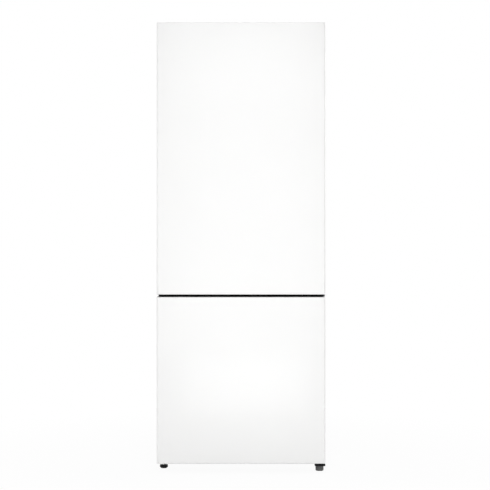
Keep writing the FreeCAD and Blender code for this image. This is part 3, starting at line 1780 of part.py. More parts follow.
parts["fridge-door-bottom-cap"] = fridge_bottom_cap
parts["fridge-door-foam"] = fridge_door_fill
parts["fridge-door-liner"] = fridge_door_inner
parts["fridge-door-gasket"] = gasket(fridge_gasket_z)
parts["bottle-bin"] = door_bin(bin_floor_levels[0], bin_heights[0])
parts["middle-bin"] = door_bin(bin_floor_levels[1], bin_heights[1])
parts["dairy-bin"] = dairy_bin()
parts["dairy-lid"] = dairy_lid()
parts["freezer-door-skin"] = freezer_skin
parts["freezer-door-top-cap"] = freezer_top_cap
parts["freezer-door-bottom-cap"] = freezer_bottom_cap
parts["freezer-door-foam"] = freezer_door_fill
parts["freezer-door-liner"] = freezer_door_inner
parts["freezer-door-gasket"] = gasket(freezer_gasket_z)
parts["crisper-left"] = drawer(flipped(crisper_x), crisper_y, crisper_z)
parts["crisper-right"] = drawer(crisper_x, crisper_y, crisper_z)
drawer_names = ("freezer-drawer-bottom", "freezer-drawer-middle", "freezer-drawer-top")
drawer_limits = zip(drawer_names, freezer_drawer_floors, freezer_drawer_tops, freezer_drawer_backs)
for name, low, high, back in drawer_limits:
    parts[name] = drawer(freezer_drawer_x, (freezer_drawer_front_y, back), (low, high))

os.makedirs("parts", exist_ok=True)
for name, shape in parts.items():
    solids = shape.Solids
    print(name, len(solids), "solid(s)", round(sum(solid.Volume for solid in solids)), shape.isValid())
    shape.exportStep(os.path.join("parts", name + ".step"))
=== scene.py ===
"""Two-door refrigerator, freezer below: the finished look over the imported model.
Metres, +Z up, doors facing -Y. The sections follow the order in which the appliance is put together."""

import json
import math

import bmesh
import bpy
import numpy as np
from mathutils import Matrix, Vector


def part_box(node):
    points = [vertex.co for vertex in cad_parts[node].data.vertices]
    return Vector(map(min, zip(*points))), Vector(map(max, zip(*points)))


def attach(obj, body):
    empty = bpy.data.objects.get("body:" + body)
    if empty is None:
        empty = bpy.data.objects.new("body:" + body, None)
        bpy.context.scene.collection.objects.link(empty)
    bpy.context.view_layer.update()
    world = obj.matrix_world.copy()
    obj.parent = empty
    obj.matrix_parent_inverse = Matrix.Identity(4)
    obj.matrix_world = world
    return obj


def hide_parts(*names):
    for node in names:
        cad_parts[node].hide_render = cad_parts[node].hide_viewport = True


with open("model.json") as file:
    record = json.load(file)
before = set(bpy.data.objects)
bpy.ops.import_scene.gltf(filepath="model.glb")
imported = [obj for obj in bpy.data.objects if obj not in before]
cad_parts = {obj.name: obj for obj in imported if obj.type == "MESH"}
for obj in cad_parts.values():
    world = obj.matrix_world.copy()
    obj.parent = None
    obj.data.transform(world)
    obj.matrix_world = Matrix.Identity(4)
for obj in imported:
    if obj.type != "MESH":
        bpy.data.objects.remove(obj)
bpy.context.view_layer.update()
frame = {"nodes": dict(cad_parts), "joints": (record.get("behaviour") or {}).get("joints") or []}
scene = bpy.context.scene
scene.view_settings.view_transform = "Standard"


# Camera. Square to the doors, 5 m in front of them, level, at the height of the photograph's horizon.
# The lens makes the 635 mm wide doors 169 pixels wide in a 490 pixel frame.

camera_side, camera_distance, camera_height = 0.01503, 5.0, 0.8545
focal_pixels, frame_pixels = 1330.7, 490
camera_data = bpy.data.cameras.new("camera")
camera_data.sensor_width = 36.0
camera_data.lens = focal_pixels * camera_data.sensor_width / frame_pixels
camera_data.clip_end = 60
camera = bpy.data.objects.new("camera", camera_data)
camera.location = (camera_side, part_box("fridge-door-skin")[0].y - camera_distance, camera_height)
camera.rotation_euler = (math.radians(90), 0, 0)
scene.collection.objects.link(camera)
scene.camera = camera


# Studio. A pale floor that keeps the shadow, a white surround, a broad lamp in front, narrow ones near the
# middle line, so that the doors fall off to their sides, and weaker lamps above, beside and behind.

floor_half = 14
floor_fade_start, floor_fade_end, floor_least_white = 0.55, 1.7, 0.95
ambient_strength = 0.47
white = (1, 1, 1, 1)

floor_mesh = bpy.data.meshes.new("studio-floor")
floor_signs = ((-1, -1), (1, -1), (1, 1), (-1, 1))
floor_mesh.from_pydata([(a * floor_half, b * floor_half, 0) for a, b in floor_signs], [], [(0, 1, 2, 3)])
floor = bpy.data.objects.new("studio-floor", floor_mesh)
scene.collection.objects.link(floor)


def fill(tree, node, inputs):
    """Fills a node's inputs: a socket is linked to its input, any other value is written into it."""
    for key, value in inputs.items():
        if isinstance(value, bpy.types.NodeSocket):
            tree.links.new(value, node.inputs[key])
        else:
            node.inputs[key].default_value = value


def add_node(tree, kind, inputs, **attributes):
    """New shader node with its attributes set and its inputs filled."""
    node = tree.nodes.new(kind)
    for key, value in attributes.items():
        setattr(node, key, value)
    fill(tree, node, inputs)
    return node


def lens_rays(tree):
    """Value 1 for camera, glossy and transmission rays and 0 for the light that falls on the object."""
    path = tree.nodes.new("ShaderNodeLightPath").outputs
    total = path["Is Camera Ray"]
    for kind in ("Is Glossy Ray", "Is Transmission Ray"):
        total = add_node(tree, "ShaderNodeMath", {0: total, 1: path[kind]}, operation="MAXIMUM").outputs[0]
    return total


def white_over(tree, kind, share, other, output):
    """Lays a white glow of strength 1, a background or an emission, over another shader by a share."""
    glow = add_node(tree, kind, {"Color": white, "Strength": 1.0}).outputs[0]
    mix = add_node(tree, "ShaderNodeMixShader", {0: share, 1: other, 2: glow}).outputs[0]
    fill(tree, tree.nodes[output], {"Surface": mix})


world = bpy.data.worlds.new("studio")
scene.world = world
world.use_nodes = True
sky = world.node_tree
ambient = sky.nodes["Background"]
fill(sky, ambient, {"Color": white, "Strength": ambient_strength})
white_over(sky, "ShaderNodeBackground", lens_rays(sky), ambient.outputs[0], "World Output")

floor_finish = bpy.data.materials.new("studio-floor")
floor_finish.use_nodes = True
ground = floor_finish.node_tree
floor_paint = ground.nodes["Principled BSDF"]
fill(ground, floor_paint, {"Base Color": (0.80, 0.80, 0.80, 1), "Roughness": 0.9, "Specular IOR Level": 0.0})
floor_place = ground.nodes.new("ShaderNodeTexCoord").outputs["Object"]
floor_radius = add_node(ground, "ShaderNodeVectorMath", {0: floor_place}, operation="LENGTH").outputs["Value"]
floor_fade = add_node(ground, "ShaderNodeMapRange", {
    "Value": floor_radius, "From Min": floor_fade_start, "From Max": floor_fade_end,
    "To Min": floor_least_white, "To Max": 1.0,
}, interpolation_type="SMOOTHSTEP")
floor_shares = {0: lens_rays(ground), 1: floor_fade.outputs[0]}
floor_white = add_node(ground, "ShaderNodeMath", floor_shares, operation="MULTIPLY")
white_over(ground, "ShaderNodeEmission", floor_white.outputs[0], floor_paint.outputs[0], "Material Output")
floor_mesh.materials.append(floor_finish)


def lamp(name, place, target, width, height, power):
    """Rectangular soft lamp at a place in metres that faces a target, with its power in watts."""
    data = bpy.data.lights.new(name, "AREA")
    data.shape = "RECTANGLE"
    data.size, data.size_y, data.energy = width, height, power
    light = bpy.data.objects.new(name, data)
    light.location = place
    aim = np.array(target, float) - np.array(place, float)
    tilt = math.atan2(math.hypot(aim[0], aim[1]), -aim[2])
    light.rotation_euler = (tilt, 0, math.atan2(-aim[0], aim[1]))
    scene.collection.objects.link(light)


lamp("lamp-front", (0.0, -4.1, 1.12), (0.0, -0.35, 0.76), 4.0, 2.2, 36.5)
lamp("lamp-strip", (0.02, -1.9, 1.26), (0.02, -0.35, 1.20), 0.68, 1.8, 3.6)
lamp("lamp-strip-low", (0.02, -1.7, 0.18), (0.02, -0.35, 0.22), 0.58, 0.26, 1.35)
lamp("lamp-strip-high", (0.02, -2.2, 1.95), (0.02, -0.35, 1.50), 0.80, 0.7, 1.9)
lamp("lamp-left", (-3.2, 0.6, 1.9), (0.0, 0.1, 0.85), 1.6, 2.2, 20)
lamp("lamp-right", (3.2, 0.6, 1.9), (0.0, 0.1, 0.85), 1.6, 2.2, 18)
lamp("lamp-back", (0.8, 3.6, 2.0), (0.0, 0.3, 0.9), 2.0, 2.0, 34)
lamp("lamp-top", (0.0, 0.2, 4.2), (0.0, 0.0, 0.0), 2.4, 2.4, 24)


# Cabinet shell: two folded sides, a top and two front rails in white enamelled steel and a galvanised
# base. The sheets are pre-painted coil, folded and hooked together.

white_enamel_colour = (0.93, 0.93, 0.925)
zinc_colour = (0.60, 0.61, 0.62)


def shader_inputs(made, inputs):
    """Fills inputs of a finish's shader."""
    fill(made.node_tree, made.node_tree.nodes["Principled BSDF"], inputs)


def finish(name, colour, roughness, metallic=0.0, coat=0.0, specular=0.5):
    """Named finish: a node material whose shader holds the values that are the same all over."""
    made = bpy.data.materials.new(name)
    made.use_nodes = True
    shader_inputs(made, {
        "Base Color": (*colour, 1), "Roughness": roughness, "Metallic": metallic, "Coat Weight": coat,
        "Coat Roughness": 0.12, "Specular IOR Level": specular,
    })
    return made


def pattern(made, kind, scale, stretch=(1, 1, 1), detail=3.0):
    """Noise or cells over the piece's Object coordinates, in metres times a scale, stretched per axis."""
    tree = made.node_tree
    place = tree.nodes.new("ShaderNodeTexCoord").outputs["Object"]
    vector = add_node(tree, "ShaderNodeMapping", {"Scale": stretch, "Vector": place}).outputs[0]
    if kind == "noise":
        inputs = {"Scale": scale, "Vector": vector, "Detail": detail}
        return add_node(tree, "ShaderNodeTexNoise", inputs).outputs["Fac"]
    cells = add_node(tree, "ShaderNodeTexVoronoi", {"Scale": scale, "Vector": vector})
    return add_node(tree, "ShaderNodeRGBToBW", {0: cells.outputs["Color"]}).outputs[0]


def tint(made, amount, low, high, start=0.35, stop=0.65):
    """Base colour that runs between two colours as a pattern goes from start to stop."""
    ramp = add_node(made.node_tree, "ShaderNodeValToRGB", {0: amount})
    for mark, position, colour in zip(ramp.color_ramp.elements, (start, stop), (low, high)):
        mark.position = position
        mark.color = (*colour, 1)
    shader_inputs(made, {"Base Color": ramp.outputs[0]})


def sheen_range(made, amount, low, high):
    """Roughness that runs between two values with a pattern."""
    span = add_node(made.node_tree, "ShaderNodeMapRange", {"Value": amount, "To Min": low, "To Max": high})
    shader_inputs(made, {"Roughness": span.outputs[0]})


def relief(made, amount, depth):
    """Bump of a depth in metres from a pattern, added to any that the finish has."""
    inputs = {"Distance": depth, "Strength": 1.0, "Height": amount}
    normal = made.node_tree.nodes["Principled BSDF"].inputs["Normal"]
    if normal.is_linked:
        inputs["Normal"] = normal.links[0].from_socket
    shader_inputs(made, {"Normal": add_node(made.node_tree, "ShaderNodeBump", inputs).outputs[0]})


def shade(colour, factor):
    """Colour made lighter or darker by a factor."""
    return tuple(min(1.0, part * factor) for part in colour)


def put(made, *nodes):
    """Gives CAD nodes a finish."""
    for name in nodes:
        for slot in frame["nodes"][name].material_slots:
            slot.material = made


def enamel(name, colour, roughness=0.30):
    """Baked enamel on steel sheet: faint orange-peel waviness, a thin coat and a barely uneven tone."""
    tone_scale, gloss_scale, peel_scale, peel_depth = 3.0, 12.0, 420.0, 0.0000012
    made = finish(name, colour, roughness, coat=0.25)
    tint(made, pattern(made, "noise", tone_scale, detail=2.0), shade(colour, 0.994), shade(colour, 1.004))
    sheen_range(made, pattern(made, "noise", gloss_scale, detail=1.0), roughness - 0.01, roughness + 0.01)
    relief(made, pattern(made, "noise", peel_scale, detail=0.0), peel_depth)
    return made


def bare_zinc(name, colour=zinc_colour, contrast=0.12):
    """Hot-dip galvanised sheet: flat crystals of slightly different tone and gloss."""
    crystal_scale, roll_scale, roll_depth = 120.0, 600.0, 0.00001
    made = finish(name, colour, 0.42, metallic=0.85)
    crystals = pattern(made, "cells", crystal_scale)
    tint(made, crystals, shade(colour, 1 - contrast), shade(colour, 1 + contrast), 0.2, 0.8)
    sheen_range(made, crystals, 0.34, 0.52)
    relief(made, pattern(made, "noise", roll_scale), roll_depth)
    return made


white_enamel = enamel("white-enamel", white_enamel_colour)
zinc_sheet = bare_zinc("zinc-sheet")
put(white_enamel, "cabinet-sides", "cabinet-top", "front-rails")
put(zinc_sheet, "cabinet-base")


# Cabinet back and rear cover: thin galvanised sheets with a grey-white wash coat. Over each slot of the
# cover stands a shallow hood, pressed out of the same sheet, that throws the warm air down.

louvre_span, louvre_shares = 0.2715, (-0.68, -0.3, 0.3, 0.68)
louvre_half, louvre_pitch, louvre_rows = 0.0485, 0.018, 9
louvre_proud, louvre_drop, louvre_wall = 0.0024, 0.0085, 0.0006
louvre_foot_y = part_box("rear-cover")[1].y + 0.00005


def grid_faces(rows, columns, wrap_rows, wrap_columns):
    """Quads between the points of a grid. A wrapped direction joins its last line to its first."""
    row = np.arange(rows if wrap_rows else rows - 1)
    column = np.arange(columns if wrap_columns else columns - 1)
    i, j = np.meshgrid(row, column, indexing="ij")
    below, beside = (i + 1) % rows, (j + 1) % columns
    corners = (i * columns + j, below * columns + j, below * columns + beside, i * columns + beside)
    return np.stack(corners, axis=-1).reshape(-1, 4)


def tube_like(points, capped=True):
    """Surface whose rows are closed outlines, with a flat face over its first and its last row."""
    return points, False, True, capped


def ring_like(points):
    """Surface closed both ways, such as a section carried round a frame."""
    return points, True, True, False


def solid(name, body, finishes, surfaces, stands_for=(), smooth=38):
    """Piece made of one or more closed surfaces. Each is an array of points, row by column, with any
    number of copies in front, and may name the finish it takes after its other four entries."""
    vertices, faces, slots, total = [], [], [], 0
    for points, wrap_rows, wrap_columns, capped, *chosen in surfaces:
        rows, columns = points.shape[-3:-1]
        copies = points.reshape(-1, rows * columns, 3)
        starts = total + np.arange(len(copies))[:, None, None] * rows * columns
        made = (grid_faces(rows, columns, wrap_rows, wrap_columns)[None] + starts).reshape(-1, 4).tolist()
        if capped:
            ends = np.stack([np.arange(columns), (rows - 1) * columns + np.arange(columns)])
            made += (ends[None] + starts).reshape(-1, columns).tolist()
        faces += made
        slots += [chosen[0] if chosen else 0] * len(made)
        vertices.append(copies.reshape(-1, 3))
        total += len(vertices[-1])
    mesh = bpy.data.meshes.new(name)
    mesh.from_pydata(np.concatenate(vertices), [], faces)
    for look in finishes:
        mesh.materials.append(look)
    mesh.polygons.foreach_set("material_index", slots)
    work = bmesh.new()
    work.from_mesh(mesh)
    bmesh.ops.remove_doubles(work, verts=work.verts, dist=1e-6)
    bmesh.ops.dissolve_degenerate(work, edges=work.edges, dist=1e-7)
    bmesh.ops.recalc_face_normals(work, faces=work.faces)
    work.to_mesh(mesh)
    work.free()
    mesh.shade_smooth()
    mesh.set_sharp_from_angle(angle=math.radians(smooth))
    piece = bpy.data.objects.new(name, mesh)
    scene.collection.objects.link(piece)
    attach(piece, body)
    if stands_for:
        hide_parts(*stands_for)


def box_of(node):
    """Low corner, high corner and middle of a CAD node's box, as arrays in metres."""
    low, high = (np.array(corner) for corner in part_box(node))
    return low, high, (low + high) / 2


def louvre_hoods():
    """Hoods over the slots: across a hood the height follows a flat-topped arch, the eighth root of one
    minus the eighth power of the share across, and down it rises as a quarter sine and ends open."""
    across = np.linspace(-1, 1, 17)
    down = np.linspace(0, 1, 7)
    height = louvre_proud * np.sin(down * math.pi / 2)[:, None] * (1 - across[None] ** 8) ** 0.125
    inner = np.maximum(height - louvre_wall, 0.0)
    wide = np.broadcast_to(across * louvre_half, height.shape)
    low = np.broadcast_to(-down[:, None] * louvre_drop, height.shape)
    outside = np.stack([wide, louvre_foot_y + height, low], axis=-1)
    inside = np.stack([wide, louvre_foot_y + inner, low], axis=-1)[:, ::-1]
    middle_z = box_of("rear-cover")[2][2]
    rows = middle_z + (np.arange(louvre_rows) - (louvre_rows - 1) / 2) * louvre_pitch + louvre_drop / 2
    columns = np.array(louvre_shares) * louvre_span
    places = np.stack(np.meshgrid(columns, [0.0], rows, indexing="ij"), axis=-1).reshape(-1, 1, 1, 3)
    return np.concatenate([outside, inside], axis=1)[None] + places


back_sheet = bare_zinc("back-sheet", (0.70, 0.71, 0.71), 0.06)
put(back_sheet, "cabinet-back", "rear-cover")
solid("rear-cover-hoods", "cabinet", [back_sheet], [tube_like(louvre_hoods())])


# Cabinet and door foam: rigid polyurethane, poured between shell and liner, where it swells and sets.
# It is cream and full of fine closed cells, with a smooth skin against the sheets.

foam_colour = (0.80, 0.70, 0.46)
foam_tone_scale, foam_cell_scale, foam_swell_scale = 60.0, 900.0, 35.0
foam_cell_depth, foam_swell_depth = 0.0004, 0.0015
foam = finish("polyurethane-foam", foam_colour, 0.92, specular=0.2)
tint(foam, pattern(foam, "noise", foam_tone_scale), shade(foam_colour, 0.82), shade(foam_colour, 1.10))
relief(foam, pattern(foam, "cells", foam_cell_scale), foam_cell_depth)
relief(foam, pattern(foam, "noise", foam_swell_scale), foam_swell_depth)
put(foam, "cabinet-foam", "fridge-door-foam", "freezer-door-foam")


# Liners of both compartments and of the doors: white high-impact polystyrene sheet, vacuum formed, with
# a soft gloss and the faint waviness that the mould leaves.


def moulded(name, colour, roughness, grain=900.0, depth=0.00003, coat=0.0, specular=0.5):
    """Moulded plastic: spark-eroded grain in relief, a slow change of gloss and slight flow marks."""
    flow_scale, flow_stretch, gloss_scale = 14.0, (1, 1, 0.35), 30.0
    made = finish(name, colour, roughness, coat=coat, specular=specular)
    tint(made, pattern(made, "noise", flow_scale, flow_stretch), shade(colour, 0.985), shade(colour, 1.01))
    sheen_range(made, pattern(made, "noise", gloss_scale), roughness - 0.02, roughness + 0.03)
    relief(made, pattern(made, "noise", grain, detail=1.0), depth)
    return made


liner_sheet = moulded("liner-sheet", (0.90, 0.91, 0.915), 0.30, grain=90.0, depth=0.000006, coat=0.10)
put(liner_sheet, "fridge-liner", "freezer-liner", "fridge-door-liner", "freezer-door-liner")


# Hinges: pressed steel plates with welded pins, screwed to the cabinet on the right. The middle and
# bottom ones are coated black, as the trim between the doors is. The top one is plated, under a cover.

black_coat = moulded("black-coat", (0.012, 0.012, 0.013), 0.6, grain=1500.0, depth=0.00001, specular=0.05)
plated = finish("plated-steel", (0.72, 0.72, 0.70), 0.32, metallic=1.0)
plated_wear = pattern(plated, "noise", 25.0)
tint(plated, plated_wear, (0.60, 0.60, 0.57), (0.76, 0.76, 0.74))
sheen_range(plated, plated_wear, 0.24, 0.44)
relief(plated, pattern(plated, "noise", 1200.0), 0.000006)
white_plastic = moulded("white-plastic", (0.90, 0.90, 0.895), 0.42)
bearing_nylon = moulded("bearing-nylon", (0.82, 0.81, 0.76), 0.38, grain=300.0)
put(black_coat, "middle-hinge", "bottom-hinge", "divider-trim")
put(plated, "top-hinge")
put(white_plastic, "top-hinge-cover")
put(bearing_nylon, "hinge-washers")


# Screws: pan heads with a cross recess and a rolled thread. Three hold the top hinge, two each of the
# lower hinges, two the rear cover and six the cabinet back. They are zinc plated, and black in front.

screw_head, screw_rise, screw_core, screw_pitch, screw_length = 0.0045, 0.0024, 0.0017, 0.0014, 0.0135
thread_depth, thread_point, thread_sunk, thread_steps = 0.00035, 0.003, 0.0002, 61
recess_half, recess_slope, recess_reach, recess_end, recess_depth = 0.00075, 0.00035, 0.0031, 0.0007, 0.0013
screw_columns, dome_fall = 40, 0.45
top_screw_side, top_screw_back, top_screw_apart = 0.0124, 0.0148, 0.037
hinge_sheet, middle_screw_sides = 0.003, (0.00675, 0.0189)
bottom_screw_rise, bottom_screw_sides = 0.02877, (0.00748, 0.02652)
back_screw_side, back_screw_end = 0.0065, 0.04243
axis_orders = {"x": [1, 2, 0], "y": [2, 0, 1], "z": [0, 1, 2]}


def mm(*values):
    """Millimetres as an array in metres."""
    return np.array(values) / 1000


def whole_turn(count):
    """Evenly spaced angles from zero to one step short of a full turn."""
    return np.linspace(0, 2 * math.pi, count, endpoint=False)


def laid_along(points, way):
    """Points whose third value runs along x, y or z, put in the order of x, y and z."""
    return points[..., np.argsort(axis_orders[way])]


def turned(radius, along, centre, way, count=32, sign=1):
    """Surface of revolution: each pair of a radius and a distance swings once round an axis that runs
    along x, y or z through a centre. A radius may be an array over the turn as well."""
    angle = whole_turn(count)
    radius, along = np.broadcast_arrays(radius, along)
    if radius.ndim == 1:
        radius, along = radius[:, None], along[:, None]
    local = np.broadcast_arrays(radius * np.cos(angle), radius * np.sin(angle) * sign, along * sign)
    return laid_along(np.stack(local, axis=-1), way) + centre


def screws_up():
    """Seats of the three heads on the top hinge's plate."""
    low, high = box_of("top-hinge")[:2]
    left, right, near = low[0] + top_screw_side, high[0] - top_screw_side, high[1] - top_screw_back
    return [(left, near - top_screw_apart, high[2]), (left, near, high[2]), (right, near, high[2])]


def screws_front():
    """Seats of the four heads on the upright flanges of the middle and bottom hinges."""
    low, high, middle = box_of("middle-hinge")
    y = high[1] - hinge_sheet
    places = [(low[0] + side, y, middle[2]) for side in middle_screw_sides]
    low = box_of("bottom-hinge")[0]
    return places + [(low[0] + side, y, low[2] + bottom_screw_rise) for side in bottom_screw_sides]


def screws_back():
    """Seats of the heads behind: one at each side of the rear cover and three up each side of the back."""
    cover_high, cover_middle = box_of("rear-cover")[1:]
    low, high, middle = box_of("cabinet-back")
    x = high[0] - back_screw_side
    levels = (cover_middle[2], low[2] + back_screw_end, middle[2], high[2] - back_screw_end)
    return [(side * x, cover_high[1], z) for side in (-1, 1) for z in levels]


def screw_forms(places, way, sign):
    """Head and thread. The head is a flat dome, lowered where the smaller of the two distances from its
    middle lines is short, which cuts the cross. The thread adds a saw wave of height over pitch less
    the share of the turn to the core radius."""
    angle = whole_turn(screw_columns)[None]
    out = np.linspace(0, 1, 15)[:, None] * screw_head
    dome = screw_rise * (1 - dome_fall * (out / screw_head) ** 4)
    narrow = np.minimum(np.abs(out * np.cos(angle)), np.abs(out * np.sin(angle)))
    cross = np.clip((recess_half - narrow) / recess_slope, 0, 1)
    top = dome - recess_depth * (cross * np.clip((recess_reach - out) / recess_end, 0, 1))
    radius = np.concatenate([out, [[screw_head]], [[0.0]]])
    height = np.concatenate([top, np.zeros((2, screw_columns))])
    turn_share = angle[:, ::2] / (2 * math.pi)
    depth = np.linspace(-thread_sunk, screw_length, thread_steps)[:, None]
    wave = np.abs(((depth / screw_pitch - turn_share) % 1) * 2 - 1)
    thread = (screw_core + thread_depth * wave) * np.clip((screw_length - depth) / thread_point, 0, 1) ** 0.7
    heads = [turned(radius, height, place, way, screw_columns, sign) for place in places]
    shanks = [turned(thread, -depth, place, way, screw_columns // 2, sign) for place in places]
    return [tube_like(np.array(heads), False), tube_like(np.array(shanks))]


screw_surfaces = screw_forms(screws_up(), "z", 1)
screw_surfaces += [(*surface, 1) for surface in screw_forms(screws_front(), "y", -1)]
screw_surfaces += screw_forms(screws_back(), "y", 1)
solid("pan-head-screws", "cabinet", [plated, black_coat], screw_surfaces, ("screws",), smooth=30)


# Levelling feet: moulded discs that narrow to the floor, with a knurled rim for the fingers, on a
# threaded steel stem. The left one is black and the right one, under the hinge, is grey.

foot_thread_pitch, foot_thread_depth, foot_stem_radius = 0.00125, 0.0004, 0.0036
foot_rim_ribs, foot_rib_depth = 28, 0.0006
stem_start_share, stem_play, stem_columns, stem_rows_a_turn = 0.9, 0.0002, 24, 6
foot_black = moulded("foot-black", (0.008, 0.008, 0.009), 0.55, specular=0.1)
foot_grey = moulded("foot-grey", (0.13, 0.13, 0.13), 0.5, specular=0.3)
foot_radius_shares = np.array([0.0, 0.92, 0.99, 1.0, 1.06, 1.0, 1.0, 1.0, 0.99, 0.96, 0.30, 0.30])
foot_height_shares = np.array([0.0, 0.0, 0.03, 0.10, 0.12, 0.34, 0.40, 0.94, 0.98, 1.0, 1.0, 0.96])
foot_base_rows, foot_rib_rows = 5, slice(6, 8)
feet = (("left", foot_black, 0.0125, 0.0115), ("right", foot_grey, 0.019, 0.0143))


def foot_forms(node, height, base_radius):
    """Disc and stem. The disc is a profile of shares of the base's and the rim's radius, and takes a small
    cosine of the turn times the number of ribs over its ribbed rows. The stem's radius takes a saw wave
    that climbs a pitch a turn."""
    low, high, middle = box_of(node)
    middle[2] = 0.0
    radius = (high[0] - low[0]) / 2
    count = foot_rim_ribs * 4
    angle = whole_turn(count)[None]
    wide = radius * foot_radius_shares
    wide[:foot_base_rows] = base_radius * foot_radius_shares[:foot_base_rows]
    ribs = np.zeros_like(wide)
    ribs[foot_rib_rows] = foot_rib_depth
    ribbed = wide[:, None] - ribs[:, None] * (0.5 - 0.5 * np.cos(foot_rim_ribs * angle))
    rings = np.concatenate([np.minimum(ribbed, radius), np.zeros((1, count))])
    levels = np.append(foot_height_shares, foot_height_shares[-1])[:, None] * height
    disc = turned(rings, levels, middle, "z", count)
    step = foot_thread_pitch / stem_rows_a_turn
    tall = np.arange(height * stem_start_share, high[2] - stem_play, step)[:, None]
    turn_share = np.linspace(0, 1, stem_columns, endpoint=False)[None]
    saw = np.abs(((tall / foot_thread_pitch - turn_share) % 1) * 2 - 1)
    stem = turned(foot_stem_radius + foot_thread_depth * saw, tall, middle, "z", stem_columns)
    return [tube_like(disc, False), (*tube_like(stem), 1)]


for side, foot_finish, disc_height, base_radius in feet:
    forms = foot_forms(side + "-foot", disc_height, base_radius)
    solid(side + "-levelling-foot", side + "_foot", [foot_finish, plated], forms, (side + "-foot",))


# Rear rollers: grey nylon wheels with a rounded tread and six webs between hub and rim, turning on the
# fixed axles of the deck.

roller_nylon = moulded("roller-nylon", (0.34, 0.34, 0.35), 0.46)
roller_disc, roller_columns = 0.0034, 96
web_rise, web_half_sine, web_slope = 0.0036, 0.26, 0.08


def roller_form(node):
    """Section carried round the axle: its half width falls between hub and rim, except over the webs,
    where the sine of three times the turn is small."""
    low, high, middle = box_of(node)
    half = (high[0] - low[0]) / 2
    radius = mm(3.1, 6.0, 6.6, 7.0, 11.6, 12.0, 12.6, 13.6, 15.2, 15.9, 16.0)
    width = mm(8.7, 8.7, 8.4, 3.4, 3.4, 8.4, 9.0, 9.0, 8.2, 6.4, 0.0)
    angle = whole_turn(roller_columns)[None]
    web = np.clip((web_half_sine - np.abs(np.sin(3 * angle))) / web_slope, 0, 1)
    thin = np.isclose(width, roller_disc).astype(float)[:, None]
    side = np.minimum(width[:, None] + thin * web * web_rise, half)
    loop_radius = np.concatenate([radius, radius[-2::-1]])[:, None]
    loop_width = np.concatenate([side, -side[-2::-1]])
    return ring_like(turned(loop_radius, loop_width, middle, "x", roller_columns))


for side in ("left", "right"):
    node = "rear-roller-" + side
    solid("roller-" + side, "rear_roller_" + side, [roller_nylon], [roller_form(node)], (node,), smooth=30)


# Compressor on its deck: two drawn steel cups welded at a flange and painted black, on a folded base
# plate held on rubber grommets, with a terminal cover and three copper tube stubs.

compressor_middle = box_of("compressor")[2] * (1, 1, 0)
compressor_base = ((-0.092, -0.062, 0.0501), (0.092, 0.062, 0.053), 0.011, 0.0008, "z")
compressor_strap = ((-0.050, -0.043, 0.0528), (0.050, 0.043, 0.060), 0.020, 0.003, "z")
terminal_cover = ((0.060, -0.023, 0.106), (0.092, 0.023, 0.158), 0.006, 0.004, "x")
cover_clip = ((0.084, -0.020, 0.128), (0.0925, 0.020, 0.136), 0.002, 0.0004, "x")
stub_x, stub_z, stub_shifts = 0.0955, 0.132, (-0.012, 0.0, 0.012)
grommet_side, grommet_depth = 0.076, 0.046
least_radius = 0.0002
compressor_paint = (0.018, 0.018, 0.019)
compressor_black = moulded("compressor-black", compressor_paint, 0.38, grain=260.0, coat=0.3, specular=0.4)
grommet_rubber = moulded("grommet-rubber", (0.03, 0.03, 0.031), 0.78, grain=700.0, specular=0.25)
copper = finish("copper-tube", (0.78, 0.42, 0.27), 0.30, metallic=1.0)
copper_stain = pattern(copper, "noise", 45.0)
tint(copper, copper_stain, (0.50, 0.24, 0.15), (0.84, 0.50, 0.34), 0.3, 0.6)
sheen_range(copper, copper_stain, 0.22, 0.46)
black_plastic = moulded("black-plastic", (0.025, 0.025, 0.027), 0.5, specular=0.3)


def rounded_outline(x, y, corners, inset=0.0, steps=6):
    """Rectangle with its own radius at each corner, counted from high x and high y: each corner is its
    centre plus the radius times cosine and sine of a quarter turn. An inset draws it in all round and
    may be an array, which gives one outline a level."""
    inset = np.atleast_1d(inset)[:, None]
    quarter = np.repeat(np.arange(4), steps)
    angle = quarter * math.pi / 2 + np.tile(np.linspace(0, math.pi / 2, steps), 4)
    radius = np.array(corners, float)[quarter][None]
    x_side, y_side = np.array([1, -1, -1, 1])[quarter], np.array([1, 1, -1, -1])[quarter]
    corner_x, corner_y = np.where(x_side > 0, x[1], x[0]), np.where(y_side > 0, y[1], y[0])
    left = np.maximum(radius - inset, least_radius)
    push = np.where(radius < inset, radius - inset - least_radius, 0.0)
    out_x = corner_x - x_side * radius + x_side * push + left * np.cos(angle)
    out_y = corner_y - y_side * radius + y_side * push + left * np.sin(angle)
    return np.stack([out_x, out_y], axis=-1)


def slab(low, high, corner, edge, way="z", steps=6):
    """Plate or block with rounded corners and edges: the outline across its way, drawn in at both ends by
    the edge radius times one less the sine of a quarter turn."""
    low, high = np.array(low)[axis_orders[way]], np.array(high)[axis_orders[way]]
    turn = np.linspace(0, math.pi / 2, 4)
    inset = np.concatenate([edge * (1 - np.sin(turn)), edge * (1 - np.sin(turn[::-1]))])
    level = np.concatenate([low[2] + edge * (1 - np.cos(turn)), high[2] - edge * (1 - np.cos(turn[::-1]))])
    outline = rounded_outline((low[0], high[0]), (low[1], high[1]), [corner] * 4, inset, steps)
    depth = np.broadcast_to(level[:, None, None], (*outline.shape[:2], 1))
    return tube_like(laid_along(np.concatenate([outline, depth], axis=-1), way))


